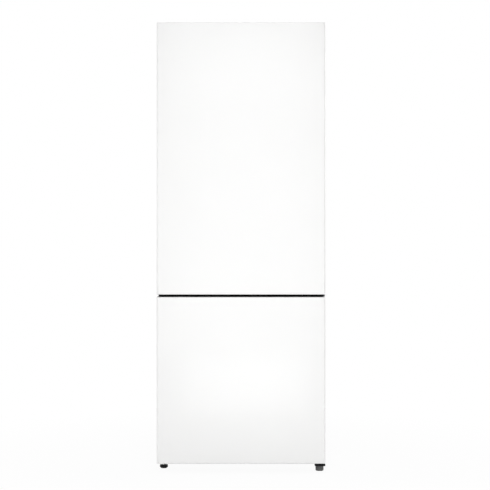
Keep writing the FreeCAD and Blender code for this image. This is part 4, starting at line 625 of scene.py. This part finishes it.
def compressor_forms():
    """Shell, swung round z and drawn in by a twentieth along y, with stubs and four blocks. A block is its
    low and high corner from the compressor's middle, its corner and edge radius and its way."""
    radius = mm(0, 38, 56, 66, 70.5, 72, 72, 72, 75, 75, 71, 70.6, 70, 68, 62, 50, 30, 0)
    height = mm(53, 53.2, 58, 68, 82, 96, 118, 131, 132, 137, 137.6, 150, 166, 180, 194, 204, 210, 211)
    shell = turned(radius, height, (0, 0, 0), "z", 64) * (1, 0.95, 1) + compressor_middle
    base, strap, cover, clip = (
        slab(compressor_middle + low, compressor_middle + high, *rounding)
        for low, high, *rounding in (compressor_base, compressor_strap, terminal_cover, cover_clip)
    )
    stub_radius = mm(0, 5.2, 5.2, 4.0, 4.0, 4.0, 3.2, 3.2, 0)
    stub_along = mm(12, 12, 9, 8, 0, -8, -8, 6, 6)
    places = [(stub_x, compressor_middle[1] + shift, stub_z + 2 * shift) for shift in stub_shifts]
    stubs = tube_like(np.array([turned(stub_radius, stub_along, place, "x", 24) for place in places]), False)
    return [tube_like(shell, False), base, strap, (*cover, 1), (*clip, 2), (*stubs, 3)]


def grommet_forms():
    """Waisted rings round the four studs: a closed section of bore, flanges and waist swung round z."""
    radius = mm(4.1, 9.8, 10.9, 10.9, 8.6, 7.9, 8.6, 10.9, 10.9, 9.8, 4.1)
    height = mm(38.0, 38.0, 38.8, 41.6, 42.6, 44.0, 45.4, 46.4, 49.0, 49.9, 49.9)
    x, y = compressor_middle[:2]
    corners = [(x + a * grommet_side, y + b * grommet_depth, 0.0) for a in (-1, 1) for b in (-1, 1)]
    return ring_like(np.array([turned(radius, height, place, "z", 28) for place in corners]))


put(zinc_sheet, "compressor-deck")
compressor_finishes = [compressor_black, black_plastic, plated, copper]
solid("hermetic-compressor", "cabinet", compressor_finishes, compressor_forms(), ("compressor",))
solid("rubber-grommets", "cabinet", [grommet_rubber], [grommet_forms()], ("compressor-grommets",))


# Condenser and evaporator: tube bent into a serpentine through a pack of thin rippled fins, between two
# end plates. The condenser is steel, dipped black. The evaporator is bare aluminium.

condenser_black = moulded("condenser-black", (0.02, 0.02, 0.021), 0.45, grain=400.0, specular=0.35)
aluminium = finish("mill-aluminium", (0.78, 0.79, 0.80), 0.36, metallic=0.95)
drawn = pattern(aluminium, "noise", 300.0, (1, 1, 0.05))
tint(aluminium, drawn, (0.68, 0.69, 0.70), (0.82, 0.83, 0.84))
sheen_range(aluminium, drawn, 0.28, 0.48)
relief(aluminium, drawn, 0.00001)
fin_ripple, fin_ripple_length, fin_margin, return_bend_share = 0.0007, 0.012, 0.006, 0.8
end_plate_wall, end_plate_inset, end_plate_corner, end_plate_edge = 0.0016, 0.002, 0.003, 0.0003


def pipe(path, radius, side, count=10):
    """Round bar along a path: at each point a circle spanned by a fixed side direction and the cross
    product of the path's own direction with it."""
    run = np.gradient(path, axis=-2)
    run = run / np.linalg.norm(run, axis=-1, keepdims=True)
    side = np.broadcast_to(side, run.shape)
    upright = np.cross(run, side)
    angle = whole_turn(count)
    circle = np.cos(angle)[:, None] * side[..., None, :] + np.sin(angle)[:, None] * upright[..., None, :]
    return tube_like(path[..., None, :] + radius * circle)


def coil_forms(node, rows, drop, fin_wall, fin_count, columns, radius):
    """Finned coil. Each column's tube path is a run of half circles, alternately right and left, whose
    centres climb by the row pitch. Fins ripple as a sine along the air's way. The end plates drop below
    the fins."""
    low, high, centre = box_of(node)
    bottom = low[2] + drop
    pitch_z, pitch_y = (high[2] - bottom) / rows, (high[1] - low[1]) / columns
    bend = pitch_z / 2
    middle = centre[0]
    half = (high[0] - low[0]) / 2 - bend - radius
    tube_z = bottom + (np.arange(rows) + 0.5) * pitch_z
    tube_y = low[1] + (np.arange(columns) + 0.5) * pitch_y
    turn = np.linspace(-math.pi / 2, math.pi / 2, 13)
    way = (-1.0) ** np.arange(rows - 1)[:, None]
    bend_x = middle + way * (half + bend * np.cos(turn))
    bend_z = tube_z[:-1, None] + bend + bend * np.sin(turn)
    end_side = (-1.0) ** (rows - 1)
    path_x = np.concatenate([[middle - half], bend_x.ravel(), [middle + end_side * half]])
    path_z = np.concatenate([[tube_z[0]], bend_z.ravel(), [tube_z[-1]]])
    tubes = np.stack([path_x, 0 * path_x, path_z], axis=-1)[None] + tube_y[:, None, None] * (0, 1, 0)
    surfaces = [pipe(tubes, radius, (0, 1, 0))]
    for index in range(columns - 1):
        at_top = index % 2 == 0
        side = end_side if at_top else -1.0
        arc_x = middle + side * (half + pitch_y / 2 * np.cos(turn) * return_bend_share)
        arc_y = tube_y[index] + pitch_y / 2 + pitch_y / 2 * np.sin(turn)
        arc = np.stack([arc_x, arc_y, np.full_like(arc_x, tube_z[-1 if at_top else 0])], axis=-1)
        surfaces.append(pipe(arc, radius, (0, 0, 1)))
    along = np.linspace(low[1], high[1], 15)
    ripple = fin_ripple * np.sin((along - low[1]) * 2 * math.pi / fin_ripple_length)
    loop_x = np.concatenate([ripple + fin_wall / 2, (ripple - fin_wall / 2)[::-1]])
    loop_y = np.concatenate([along, along[::-1]])
    fin = np.stack([loop_x, loop_y, 0 * loop_x], axis=-1) + np.array([[(0, 0, bottom)], [(0, 0, high[2])]])
    places = np.linspace(middle - half + fin_margin, middle + half - fin_margin, fin_count)
    surfaces.append(tube_like(fin[None] + places[:, None, None, None] * (1, 0, 0)))
    for side in (-1, 1):
        x = middle + side * (half - end_plate_inset)
        plate_low = (x - end_plate_wall / 2, low[1], low[2])
        plate_high = (x + end_plate_wall / 2, high[1], high[2])
        surfaces.append(slab(plate_low, plate_high, end_plate_corner, end_plate_edge, "x"))
    return surfaces


condenser_sizes = dict(drop=0.008, fin_wall=0.0004, fin_count=30, columns=4, radius=0.003)
evaporator_sizes = dict(drop=0.012, fin_wall=0.0003, fin_count=56, columns=2, radius=0.004)
for node, metal, sizes in (
    ("condenser", condenser_black, condenser_sizes), ("evaporator", aluminium, evaporator_sizes),
):
    solid("finned-" + node, "cabinet", [metal], coil_forms(node, rows=5, **sizes), (node,))


# Fans: one-piece moulded rotors on the shafts of two small motors. The blades are thin aerofoils,
# pitched steeply at the hub and less at the tip.

fan_plastic = moulded("fan-plastic", (0.045, 0.045, 0.048), 0.42, grain=500.0, specular=0.35)
motor_can = finish("motor-can", (0.55, 0.55, 0.54), 0.34, metallic=0.9)
tint(motor_can, pattern(motor_can, "noise", 70.0), (0.48, 0.48, 0.47), (0.60, 0.60, 0.59))
relief(motor_can, pattern(motor_can, "noise", 800.0), 0.00001)
blade_count, blade_root, blade_reach, blade_arch = 5, 0.0115, 0.0300, 0.0022
blade_chord, blade_widening, blade_rounding, blade_sweep = 0.019, 0.009, 0.004, 0.003
blade_thickness, blade_edge, widening_share = 0.0018, 0.00035, 0.62
root_pitch, pitch_fall = 41, 19
rotor_depth, rotor_middle = (0.0004, 0.0196), 0.0105
pivots = {joint["child"]: joint.get("pos_m") for joint in frame["joints"]}


def fan_forms(node, body, way):
    """Rotor: a hub swung round the shaft, and blades whose section, a thin arched leaf, is turned by a
    pitch that falls from root to tip, widened towards the tip and carried out from the shaft. The shaft is
    at the joint's place and the hub starts at the low end of the rotor's box."""
    axis = "xyz".index(way)
    centre = np.array(pivots[body], float)
    centre[axis] = box_of(node)[0][axis]
    radius = mm(0, 7, 11, 12.6, 13, 13, 11.8, 11.6, 4.4, 4.2, 4.2, 2.15, 2.15, 0)
    along = mm(0, 0.2, 1.2, 3.2, 6, 20, 20, 5, 5, 6, 19.5, 19.5, 6, 6)
    hub = turned(radius, along, centre, way, 48)
    chord_share = np.linspace(0, 1, 9)
    thick = blade_thickness * np.sqrt(np.clip(chord_share * (1 - chord_share), 0, 1)) + blade_edge
    arch = blade_arch * np.sin(math.pi * chord_share)
    leaf_u = np.concatenate([chord_share, chord_share[::-1]]) - 0.5
    leaf_v = np.concatenate([arch + thick / 2, (arch - thick / 2)[::-1]])
    span = np.linspace(0, 1, 8)[:, None]
    out = blade_root + span * blade_reach
    widening = blade_widening * np.sin(span * math.pi * widening_share)
    chord = blade_chord + widening - blade_rounding * span ** 6
    pitch = np.radians(root_pitch - pitch_fall * span)
    across = leaf_u * chord * np.cos(pitch) - leaf_v * np.sin(pitch) + blade_sweep * span
    depth = leaf_u * chord * np.sin(pitch) + leaf_v * np.cos(pitch) + rotor_middle
    depth = np.clip(depth, *rotor_depth)
    reach = np.sqrt(np.maximum(out ** 2 - across ** 2, 0.0))
    turn = whole_turn(blade_count)[:, None, None]
    u = across[None] * np.cos(turn) - reach[None] * np.sin(turn)
    v = across[None] * np.sin(turn) + reach[None] * np.cos(turn)
    local = np.stack([u, v, np.broadcast_to(depth, u.shape)], axis=-1)
    return [tube_like(hub, False), tube_like(laid_along(local, way) + centre)]


put(motor_can, "fan-motors")
for place, way in (("evaporator", "y"), ("condenser", "x")):
    node, body = place + "-fan", place + "_fan"
    solid(place + "-rotor", body, [fan_plastic], fan_forms(node, body, way), (node,))


# Drain pan and cord gland: a grey polypropylene tray under the condenser, and a rubber bush whose groove
# grips the edge of the hole in the rear cover.

put(moulded("pan-grey", (0.30, 0.31, 0.32), 0.48), "drain-pan")


def gland_form():
    """Closed section of bore, inner flange, groove and domed outer flange swung round y."""
    low, high, middle = box_of("cord-gland")
    middle[1] = 0.0
    outer = (high[0] - low[0]) / 2
    radius = mm(4.1, 8.6, 9.0, 9.0, 8.9, 8.9, 1000 * outer, 1000 * outer, 9.6, 6.4, 4.1)
    along = low[1] + mm(0.1, 0.1, 0.9, 4.1, 4.9, 6.1, 6.2, 6.9, 7.9, 8.4, 8.4)
    return ring_like(turned(np.minimum(radius, outer), along, middle, "y", 36))


solid("supply-gland", "cabinet", [grommet_rubber], [gland_form()], ("cord-gland",))


# Cold-air side: white covers clip in front of the evaporator and up the back wall. The damper between
# them is a foamed plastic flap.

cover_plastic = moulded("cover-plastic", (0.89, 0.90, 0.905), 0.36, grain=420.0, depth=0.00005)
damper_plastic = moulded("damper-plastic", (0.78, 0.79, 0.80), 0.7, grain=600.0, depth=0.00015)
put(cover_plastic, "duct-cover", "evaporator-cover")
put(damper_plastic, "air-damper")


# Control housing under the ceiling of the fridge: white moulding with a frosted lamp lens and two round
# push buttons in grey.


def see_through(name, colour, roughness, transmission, alpha, grain=60.0, flow_scale=9.0):
    """Clear or frosted moulding: part transmitted, part let straight through, with slow flow marks."""
    made = finish(name, colour, roughness)
    shader_inputs(made, {"Transmission Weight": transmission, "IOR": 1.49, "Alpha": alpha})
    tint(made, pattern(made, "noise", flow_scale), shade(colour, 0.96), shade(colour, 1.02))
    sheen_range(made, pattern(made, "noise", grain), roughness * 0.8, roughness * 1.3)
    relief(made, pattern(made, "noise", grain, detail=1.0), 0.00003)
    return made


button_plastic = moulded("button-plastic", (0.52, 0.54, 0.56), 0.35)
put(moulded("housing-plastic", (0.88, 0.89, 0.895), 0.40), "control-housing")
put(button_plastic, "temperature-button", "fast-freeze-button")
put(see_through("lamp-lens", (0.95, 0.95, 0.93), 0.42, 0.25, 1.0), "light-lens")


# Shelves: toughened glass, pale on its faces and green where one looks into its edge. A white rail is
# pushed over each front edge and a raised stop over each back edge.

glass_face, glass_edge = (0.93, 0.985, 0.965), (0.16, 0.46, 0.36)
shelf_glass = see_through("shelf-glass", glass_face, 0.03, 0.93, 0.85)
shelf_tree = shelf_glass.node_tree
shelf_normal = shelf_tree.nodes.new("ShaderNodeNewGeometry").outputs["True Normal"]
normal_z = add_node(shelf_tree, "ShaderNodeSeparateXYZ", {0: shelf_normal}).outputs["Z"]
facing_level = add_node(shelf_tree, "ShaderNodeMath", {0: normal_z}, operation="ABSOLUTE")
tint(shelf_glass, facing_level.outputs[0], glass_edge, glass_face, 0.3, 0.7)
put(shelf_glass, "glass-shelves")
shelf_levels = (0.897, 1.0909, 1.2775, 1.4641)
trim_low, trim_high = box_of("shelf-trims")[:2]
rail_chamfer, rail_run = 0.0008, 0.0025
rail_end_shares = np.array([0.93, 0.99, 1.0, 1.0, 0.99, 0.93])


def rail_forms(section, front_y):
    """Section in y and z carried along x over the shelf's width, drawn in a little at both ends, at each
    shelf level."""
    half = trim_high[0]
    section = mm(*section)
    middle = section.mean(axis=0)
    end = np.array([half, half - rail_chamfer, half - rail_run])
    across = np.concatenate([-end, end[::-1]])
    outline = middle + (section - middle)[None] * rail_end_shares[:, None, None]
    x = np.broadcast_to(across[:, None, None], (len(across), len(section), 1))
    rail = np.concatenate([x, outline + (front_y, 0)], axis=-1)
    return tube_like(rail[None] + np.array([(0, 0, level) for level in shelf_levels])[:, None, None])


front_rail = [
    (15.9, 4.1), (15.9, 5.7), (14.4, 6.7), (10, 7.3), (4.4, 7.5), (1.9, 6.9), (0.5, 5.2), (0, 2), (0.5, -1.2),
    (1.9, -2.9), (4.4, -3.5), (13, -3.3), (15.2, -2.7), (15.9, -1.7), (15.9, -0.1), (7.9, -0.1), (7.9, 4.1),
]
back_stop = [
    (-11.9, 4.1), (-11.9, 5.3), (-11, 6.2), (-6.6, 6.7), (-5.0, 7.6), (-4.4, 9.4), (-4.1, 14.8), (-3.2, 15.8),
    (-1.0, 15.8), (-0.1, 14.8), (-0.1, -3.0), (-1.0, -3.9), (-11, -3.9), (-11.9, -3.0), (-11.9, -0.1),
    (-7.6, -0.1), (-7.6, 4.1),
]
trim_forms = [rail_forms(front_rail, trim_low[1]), rail_forms(back_stop, trim_high[1])]
solid("shelf-rails-and-stops", "cabinet", [white_plastic], trim_forms, ("shelf-trims",), smooth=50)


# Crispers and freezer drawers: deep tubs with drafted sides, a rolled lip and rounded floor corners,
# each with a thicker front that has a scooped grip. Crispers are clear, freezer drawers frosted.

crisper_clear = see_through("crisper-clear", (0.90, 0.95, 0.97), 0.07, 0.88, 0.72)
crisper_face = see_through("crisper-face", (0.90, 0.95, 0.97), 0.16, 0.85, 0.74)
drawer_frosted = see_through("drawer-frosted", (0.86, 0.91, 0.94), 0.36, 0.55, 0.92)
front_frosted = see_through("front-frosted", (0.92, 0.94, 0.95), 0.30, 0.35, 0.97)
drawer_corners, drawer_wall, drawer_draft, drawer_lip = (0.016, 0.016, 0.006, 0.006), 2.2, 3.2, 2.0
front_wall, front_crown, front_bevel, front_rim = 0.0024, 0.0012, 0.003, 0.0008
front_play, front_lift, tub_setback = 0.0010, 0.0004, 0.0028
grip_drop, grip_height, grip_depth = 0.008, 0.026, 0.0115
grip_side_run, grip_floor_run, grip_top_run = 0.012, 0.014, 0.004


def tub(x, y, z, corners, wall, draft, lip):
    """Open tub as one outline per level of a profile that climbs outside, rolls over the lip and goes
    down inside. Each outline is drawn in by the profile's inset, so corners tighten towards the floor.
    Wall, draft and lip are in millimetres, as the profile is."""
    top = 1000 * (z[1] - z[0])
    inset = [draft + 5, draft + 1.6, draft + 0.4, draft * 0.9, lip + 0.6, lip, 0.3, 0, 0.2, 0.8]
    rise = [0, 0.7, 2.6, 7.0, top - 6.5, top - 3.0, top - 2.6, top - 1.4, top - 0.4, top]
    inset += [lip + wall - 0.6, lip + wall, draft * 0.9 + wall, draft + wall + 0.8, draft + wall + 5]
    rise += [top, top - 1.2, 8.0, wall + 2.2, wall]
    level = z[0] + mm(*rise)
    outline = rounded_outline(x, y, corners, mm(*inset), 7)
    return np.concatenate([outline, np.broadcast_to(level[:, None, None], (*outline.shape[:2], 1))], axis=-1)


def eased(share):
    """Smooth step: three squares less two cubes of a share that is held between 0 and 1."""
    held = np.clip(share, 0, 1)
    return held ** 2 * (3 - 2 * held)


def drawer_front(x, z, front_y):
    """Front panel as a loop round its section at each height. Its face goes back by the grip's depth
    times two smooth steps, one across and one up, and its back runs parallel at the wall's distance."""
    middle, half = (x[0] + x[1]) / 2, (x[1] - x[0]) / 2
    across = np.linspace(-1, 1, 61)
    main_levels = np.linspace(z[0] + front_bevel, z[1] - front_bevel, 40)
    up = np.concatenate([[z[0], z[0] + front_rim], main_levels, [z[1] - front_rim, z[1]]])
    grip_top, grip_bottom = z[1] - grip_drop, z[1] - grip_drop - grip_height
    wide = eased((0.5 - np.abs(across)) * half / grip_side_run)[None]
    tall = eased((up - grip_bottom) / grip_floor_run) * eased((grip_top - up) / grip_top_run)
    scoop = grip_depth * wide * tall[:, None]
    bevel = np.minimum(np.minimum(up - z[0], z[1] - up), front_bevel)[:, None]
    face = front_y + front_crown * across[None] ** 2 + scoop + front_crown * (1 - bevel / front_bevel) ** 2
    back = front_y + front_crown + scoop + front_wall + front_play
    wide_x = np.broadcast_to(middle + across * half, face.shape)
    high = np.broadcast_to(up[:, None], face.shape)
    outer = np.stack([wide_x, face, high], axis=-1)
    inner = np.stack([wide_x, np.broadcast_to(back, face.shape), high], axis=-1)[:, ::-1]
    return tube_like(np.concatenate([outer, inner], axis=1))


def drawer(name, node, body, clear, front):
    """One drawer from the box of its CAD node."""
    low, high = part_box(node)
    x, y, z = (low.x, high.x), (low.y + tub_setback, high.y), (low.z, high.z)
    body_form = tube_like(tub(x, y, z, drawer_corners, drawer_wall, drawer_draft, drawer_lip))
    front_form = drawer_front(x, (low.z + front_lift, high.z), low.y)
    solid(name, body, [clear, front], [body_form, (*front_form, 1)], (node,))


for side in ("left", "right"):
    drawer("crisper-tub-" + side, "crisper-" + side, "crisper_" + side, crisper_clear, crisper_face)
for level in ("bottom", "middle", "top"):
    body = "freezer_drawer_" + level
    drawer("freezer-tub-" + level, "freezer-drawer-" + level, body, drawer_frosted, front_frosted)


# Doors: a white pre-painted steel pan closed by moulded caps. The caps at the gap between the doors and
# at the floor are black, the one on top is white.

door_enamel = enamel("door-enamel", white_enamel_colour, 0.28)
black_cap = moulded("black-cap", (0.010, 0.010, 0.011), 0.65, grain=1500.0, depth=0.00001, specular=0.04)
put(door_enamel, "fridge-door-skin", "freezer-door-skin")
put(white_plastic, "fridge-door-top-cap")
put(black_cap, "fridge-door-bottom-cap", "freezer-door-top-cap", "freezer-door-bottom-cap")


# Door gaskets: extruded soft vinyl with a root pushed into the liner's groove, bellows at both sides and
# a chamber that holds the magnet strip. The four lengths are mitred and welded at the corners.

gasket_vinyl = moulded("gasket-vinyl", (0.66, 0.67, 0.68), 0.55, grain=260.0, specular=0.35)
gasket_section = [
    (9.0, 0.1), (15.0, 0.1), (15.6, 1.1), (14.6, 2.0), (14.9, 3.5), (17.6, 4.2), (19.1, 5.4), (18.6, 7.2),
    (20.2, 8.4), (23.4, 8.8), (24.0, 10.0), (22.8, 10.9), (20.0, 11.3), (19.4, 12.6), (18.8, 13.4),
    (16.0, 13.5), (12.0, 13.1), (8.0, 13.5), (5.2, 13.4), (4.6, 12.6), (4.0, 11.3), (1.2, 10.9), (0.1, 10.0),
    (0.6, 8.8), (3.8, 8.4), (5.4, 7.2), (4.9, 5.4), (6.4, 4.2), (9.1, 3.5), (9.4, 2.0), (8.4, 1.1),
]


def gasket_form(node):
    """Section carried round a rectangle: at each corner every point of it lies on the mitre, as far in
    from both outer edges as it is from the gasket's edge."""
    low, high, middle = box_of(node)
    inward, deep = mm(*gasket_section).T
    x_side = np.array([-1, 1, 1, -1])[:, None]
    z_side = np.array([-1, -1, 1, 1])[:, None]
    x = x_side * (high[0] - inward)
    z = middle[2] + z_side * ((high[2] - low[2]) / 2 - inward)
    return ring_like(np.stack([x, np.broadcast_to(low[1] + deep, x.shape), z], axis=-1))


for door in ("fridge", "freezer"):
    node = door + "-door-gasket"
    solid(door + "-bellows-gasket", door + "_door", [gasket_vinyl], [gasket_form(node)], (node,), smooth=50)


# Door bins: clear open bins with rounded front corners, a rolled lip and end hooks that drop over the
# liner's lugs. The top one has cheeks that carry the pins of a clear flap.

bin_clear = see_through("bin-clear", (0.92, 0.96, 0.97), 0.06, 0.88, 0.70)
bin_levels = {"bottle": (0.7729, 0.105), "middle": (1.1199, 0.092), "dairy": (1.3755, 0.084)}
bin_low, bin_high = box_of("bottle-bin")[:2]
hook_overhang, hook_wide, hook_height, hook_rise = 0.0067, 0.0091, 0.0119, 0.0403
hook_near, hook_far, hook_corner, hook_edge = 0.0099, 0.0215, 0.002, 0.0008
bin_half = bin_high[0] - hook_overhang
bin_corners, bin_wall, bin_draft, bin_lip = (0.012, 0.012, 0.003, 0.003), 2.2, 1.6, 1.2
cheek_half, cheek_rise, cheek_overlap, cheek_wall = 0.0087, 0.0065, 0.002, 0.0024
cheek_inset, lid_play, lid_setback, lid_gap = 0.0001, 0.004, 0.0011, 0.0005
lid_radius, lid_sheet, lid_bend, lid_heel, lid_roundness = 0.003, 0.002, 0.008, 0.0032, 0.0004
pin_hole, pin_tip_radius, pin_sunk, pin_reach, pin_tip = 0.0033, 0.0024, 0.004, 0.0070, 0.0077
lid_axis_y, lid_axis_z = pivots["dairy_lid"][1:]
lid_half, lid_front_y = bin_half - lid_play, bin_high[1] - lid_setback
dairy_top = sum(bin_levels["dairy"])


def bin_forms(low_z, height):
    """Tub with square corners at the door and round ones towards the shelves, and two hooks."""
    x, y = (-bin_half, bin_half), (bin_low[1], bin_high[1])
    body = tub(x, y, (low_z, low_z + height), bin_corners, bin_wall, bin_draft, bin_lip)
    outer, near, far, hook_z = bin_high[0], y[0] + hook_near, y[0] + hook_far, low_z + hook_rise
    hooks = [
        slab((a, near, hook_z), (b, far, hook_z + hook_height), hook_corner, hook_edge, "x", 4)
        for a, b in ((-outer, hook_wide - outer), (outer - hook_wide, outer))
    ]
    return [tube_like(body), *hooks]


def cheek_form(side):
    """Cheek over the bin's end: an outline in y and z with a half round top, carried through the wall's
    thickness, its hole drawn as a second outline inside the first."""
    angle = np.linspace(0, math.pi, 17)
    round_y, round_z = lid_axis_y + cheek_half * np.cos(angle), lid_axis_z + cheek_rise * np.sin(angle)
    outer_y = np.concatenate([[lid_axis_y + cheek_half], round_y, [lid_axis_y - cheek_half]])
    foot_z = dairy_top - cheek_overlap
    outer_z = np.concatenate([[foot_z], round_z, [foot_z]])
    outer = np.stack([outer_y, outer_z], axis=-1)
    bearing = np.linspace(-math.pi / 2, math.pi * 1.5, len(outer), endpoint=False)
    hole_y, hole_z = lid_axis_y + pin_hole * np.cos(bearing), lid_axis_z + pin_hole * np.sin(bearing)
    hole = np.stack([hole_y, hole_z], axis=-1)
    walls = sorted((side * (bin_half - cheek_wall), side * (bin_half - cheek_inset)))
    loops = [(outer, walls[0]), (outer, walls[1]), (hole, walls[1]), (hole, walls[0])]
    return ring_like(np.array([np.column_stack([np.full(len(loop), x), loop]) for loop, x in loops]))


def lid_forms():
    """Flap: an outline in y and z, a barrel with a roof that bends down in a quarter turn at the front,
    carried along x. The barrel runs on into the cheeks as two pins."""
    barrel = np.radians(np.linspace(-20, -250, 13))
    bend = np.radians(np.linspace(90, 0, 7))
    top_z = lid_axis_z + lid_radius
    bend_y, bend_z, inner_bend = lid_front_y - lid_bend, top_z - lid_bend, lid_bend - lid_sheet
    outer_y = np.concatenate([lid_axis_y + lid_radius * np.cos(barrel), bend_y + lid_bend * np.cos(bend)])
    outer_z = np.concatenate([lid_axis_z + lid_radius * np.sin(barrel), bend_z + lid_bend * np.sin(bend)])
    lip_y = [lid_front_y, lid_front_y - lid_roundness, lid_front_y - lid_sheet]
    y = np.concatenate([outer_y, lip_y, bend_y + inner_bend * np.cos(bend[::-1]), [lid_axis_y + lid_heel]])
    lip_z = dairy_top + lid_gap + np.array([lid_roundness, 0.0, lid_roundness / 2])
    z = np.concatenate([outer_z, lip_z, bend_z + inner_bend * np.sin(bend[::-1]), [top_z - lid_sheet]])
    x = np.linspace(-lid_half, lid_half, 5)[:, None]
    section = np.stack(np.broadcast_arrays(x, y[None], z[None]), axis=-1)
    pin_radius = [0, lid_radius, lid_radius, pin_tip_radius, 0]
    pin_along = np.array([0, 0, pin_reach, pin_tip, pin_tip])
    pin_start = lid_half - pin_sunk
    pins = [
        turned(pin_radius, side * pin_along, (side * pin_start, lid_axis_y, lid_axis_z), "x", 20)
        for side in (1, -1)
    ]
    return [tube_like(section), tube_like(np.array(pins), False)]


for place, (low_z, height) in bin_levels.items():
    forms = bin_forms(low_z, height)
    if place == "dairy":
        forms += [cheek_form(-1), cheek_form(1)]
    solid("clear-" + place + "-bin", place + "_bin", [bin_clear], forms, (place + "-bin",))
solid("clear-dairy-flap", "dairy_lid", [bin_clear], lid_forms(), ("dairy-lid",))
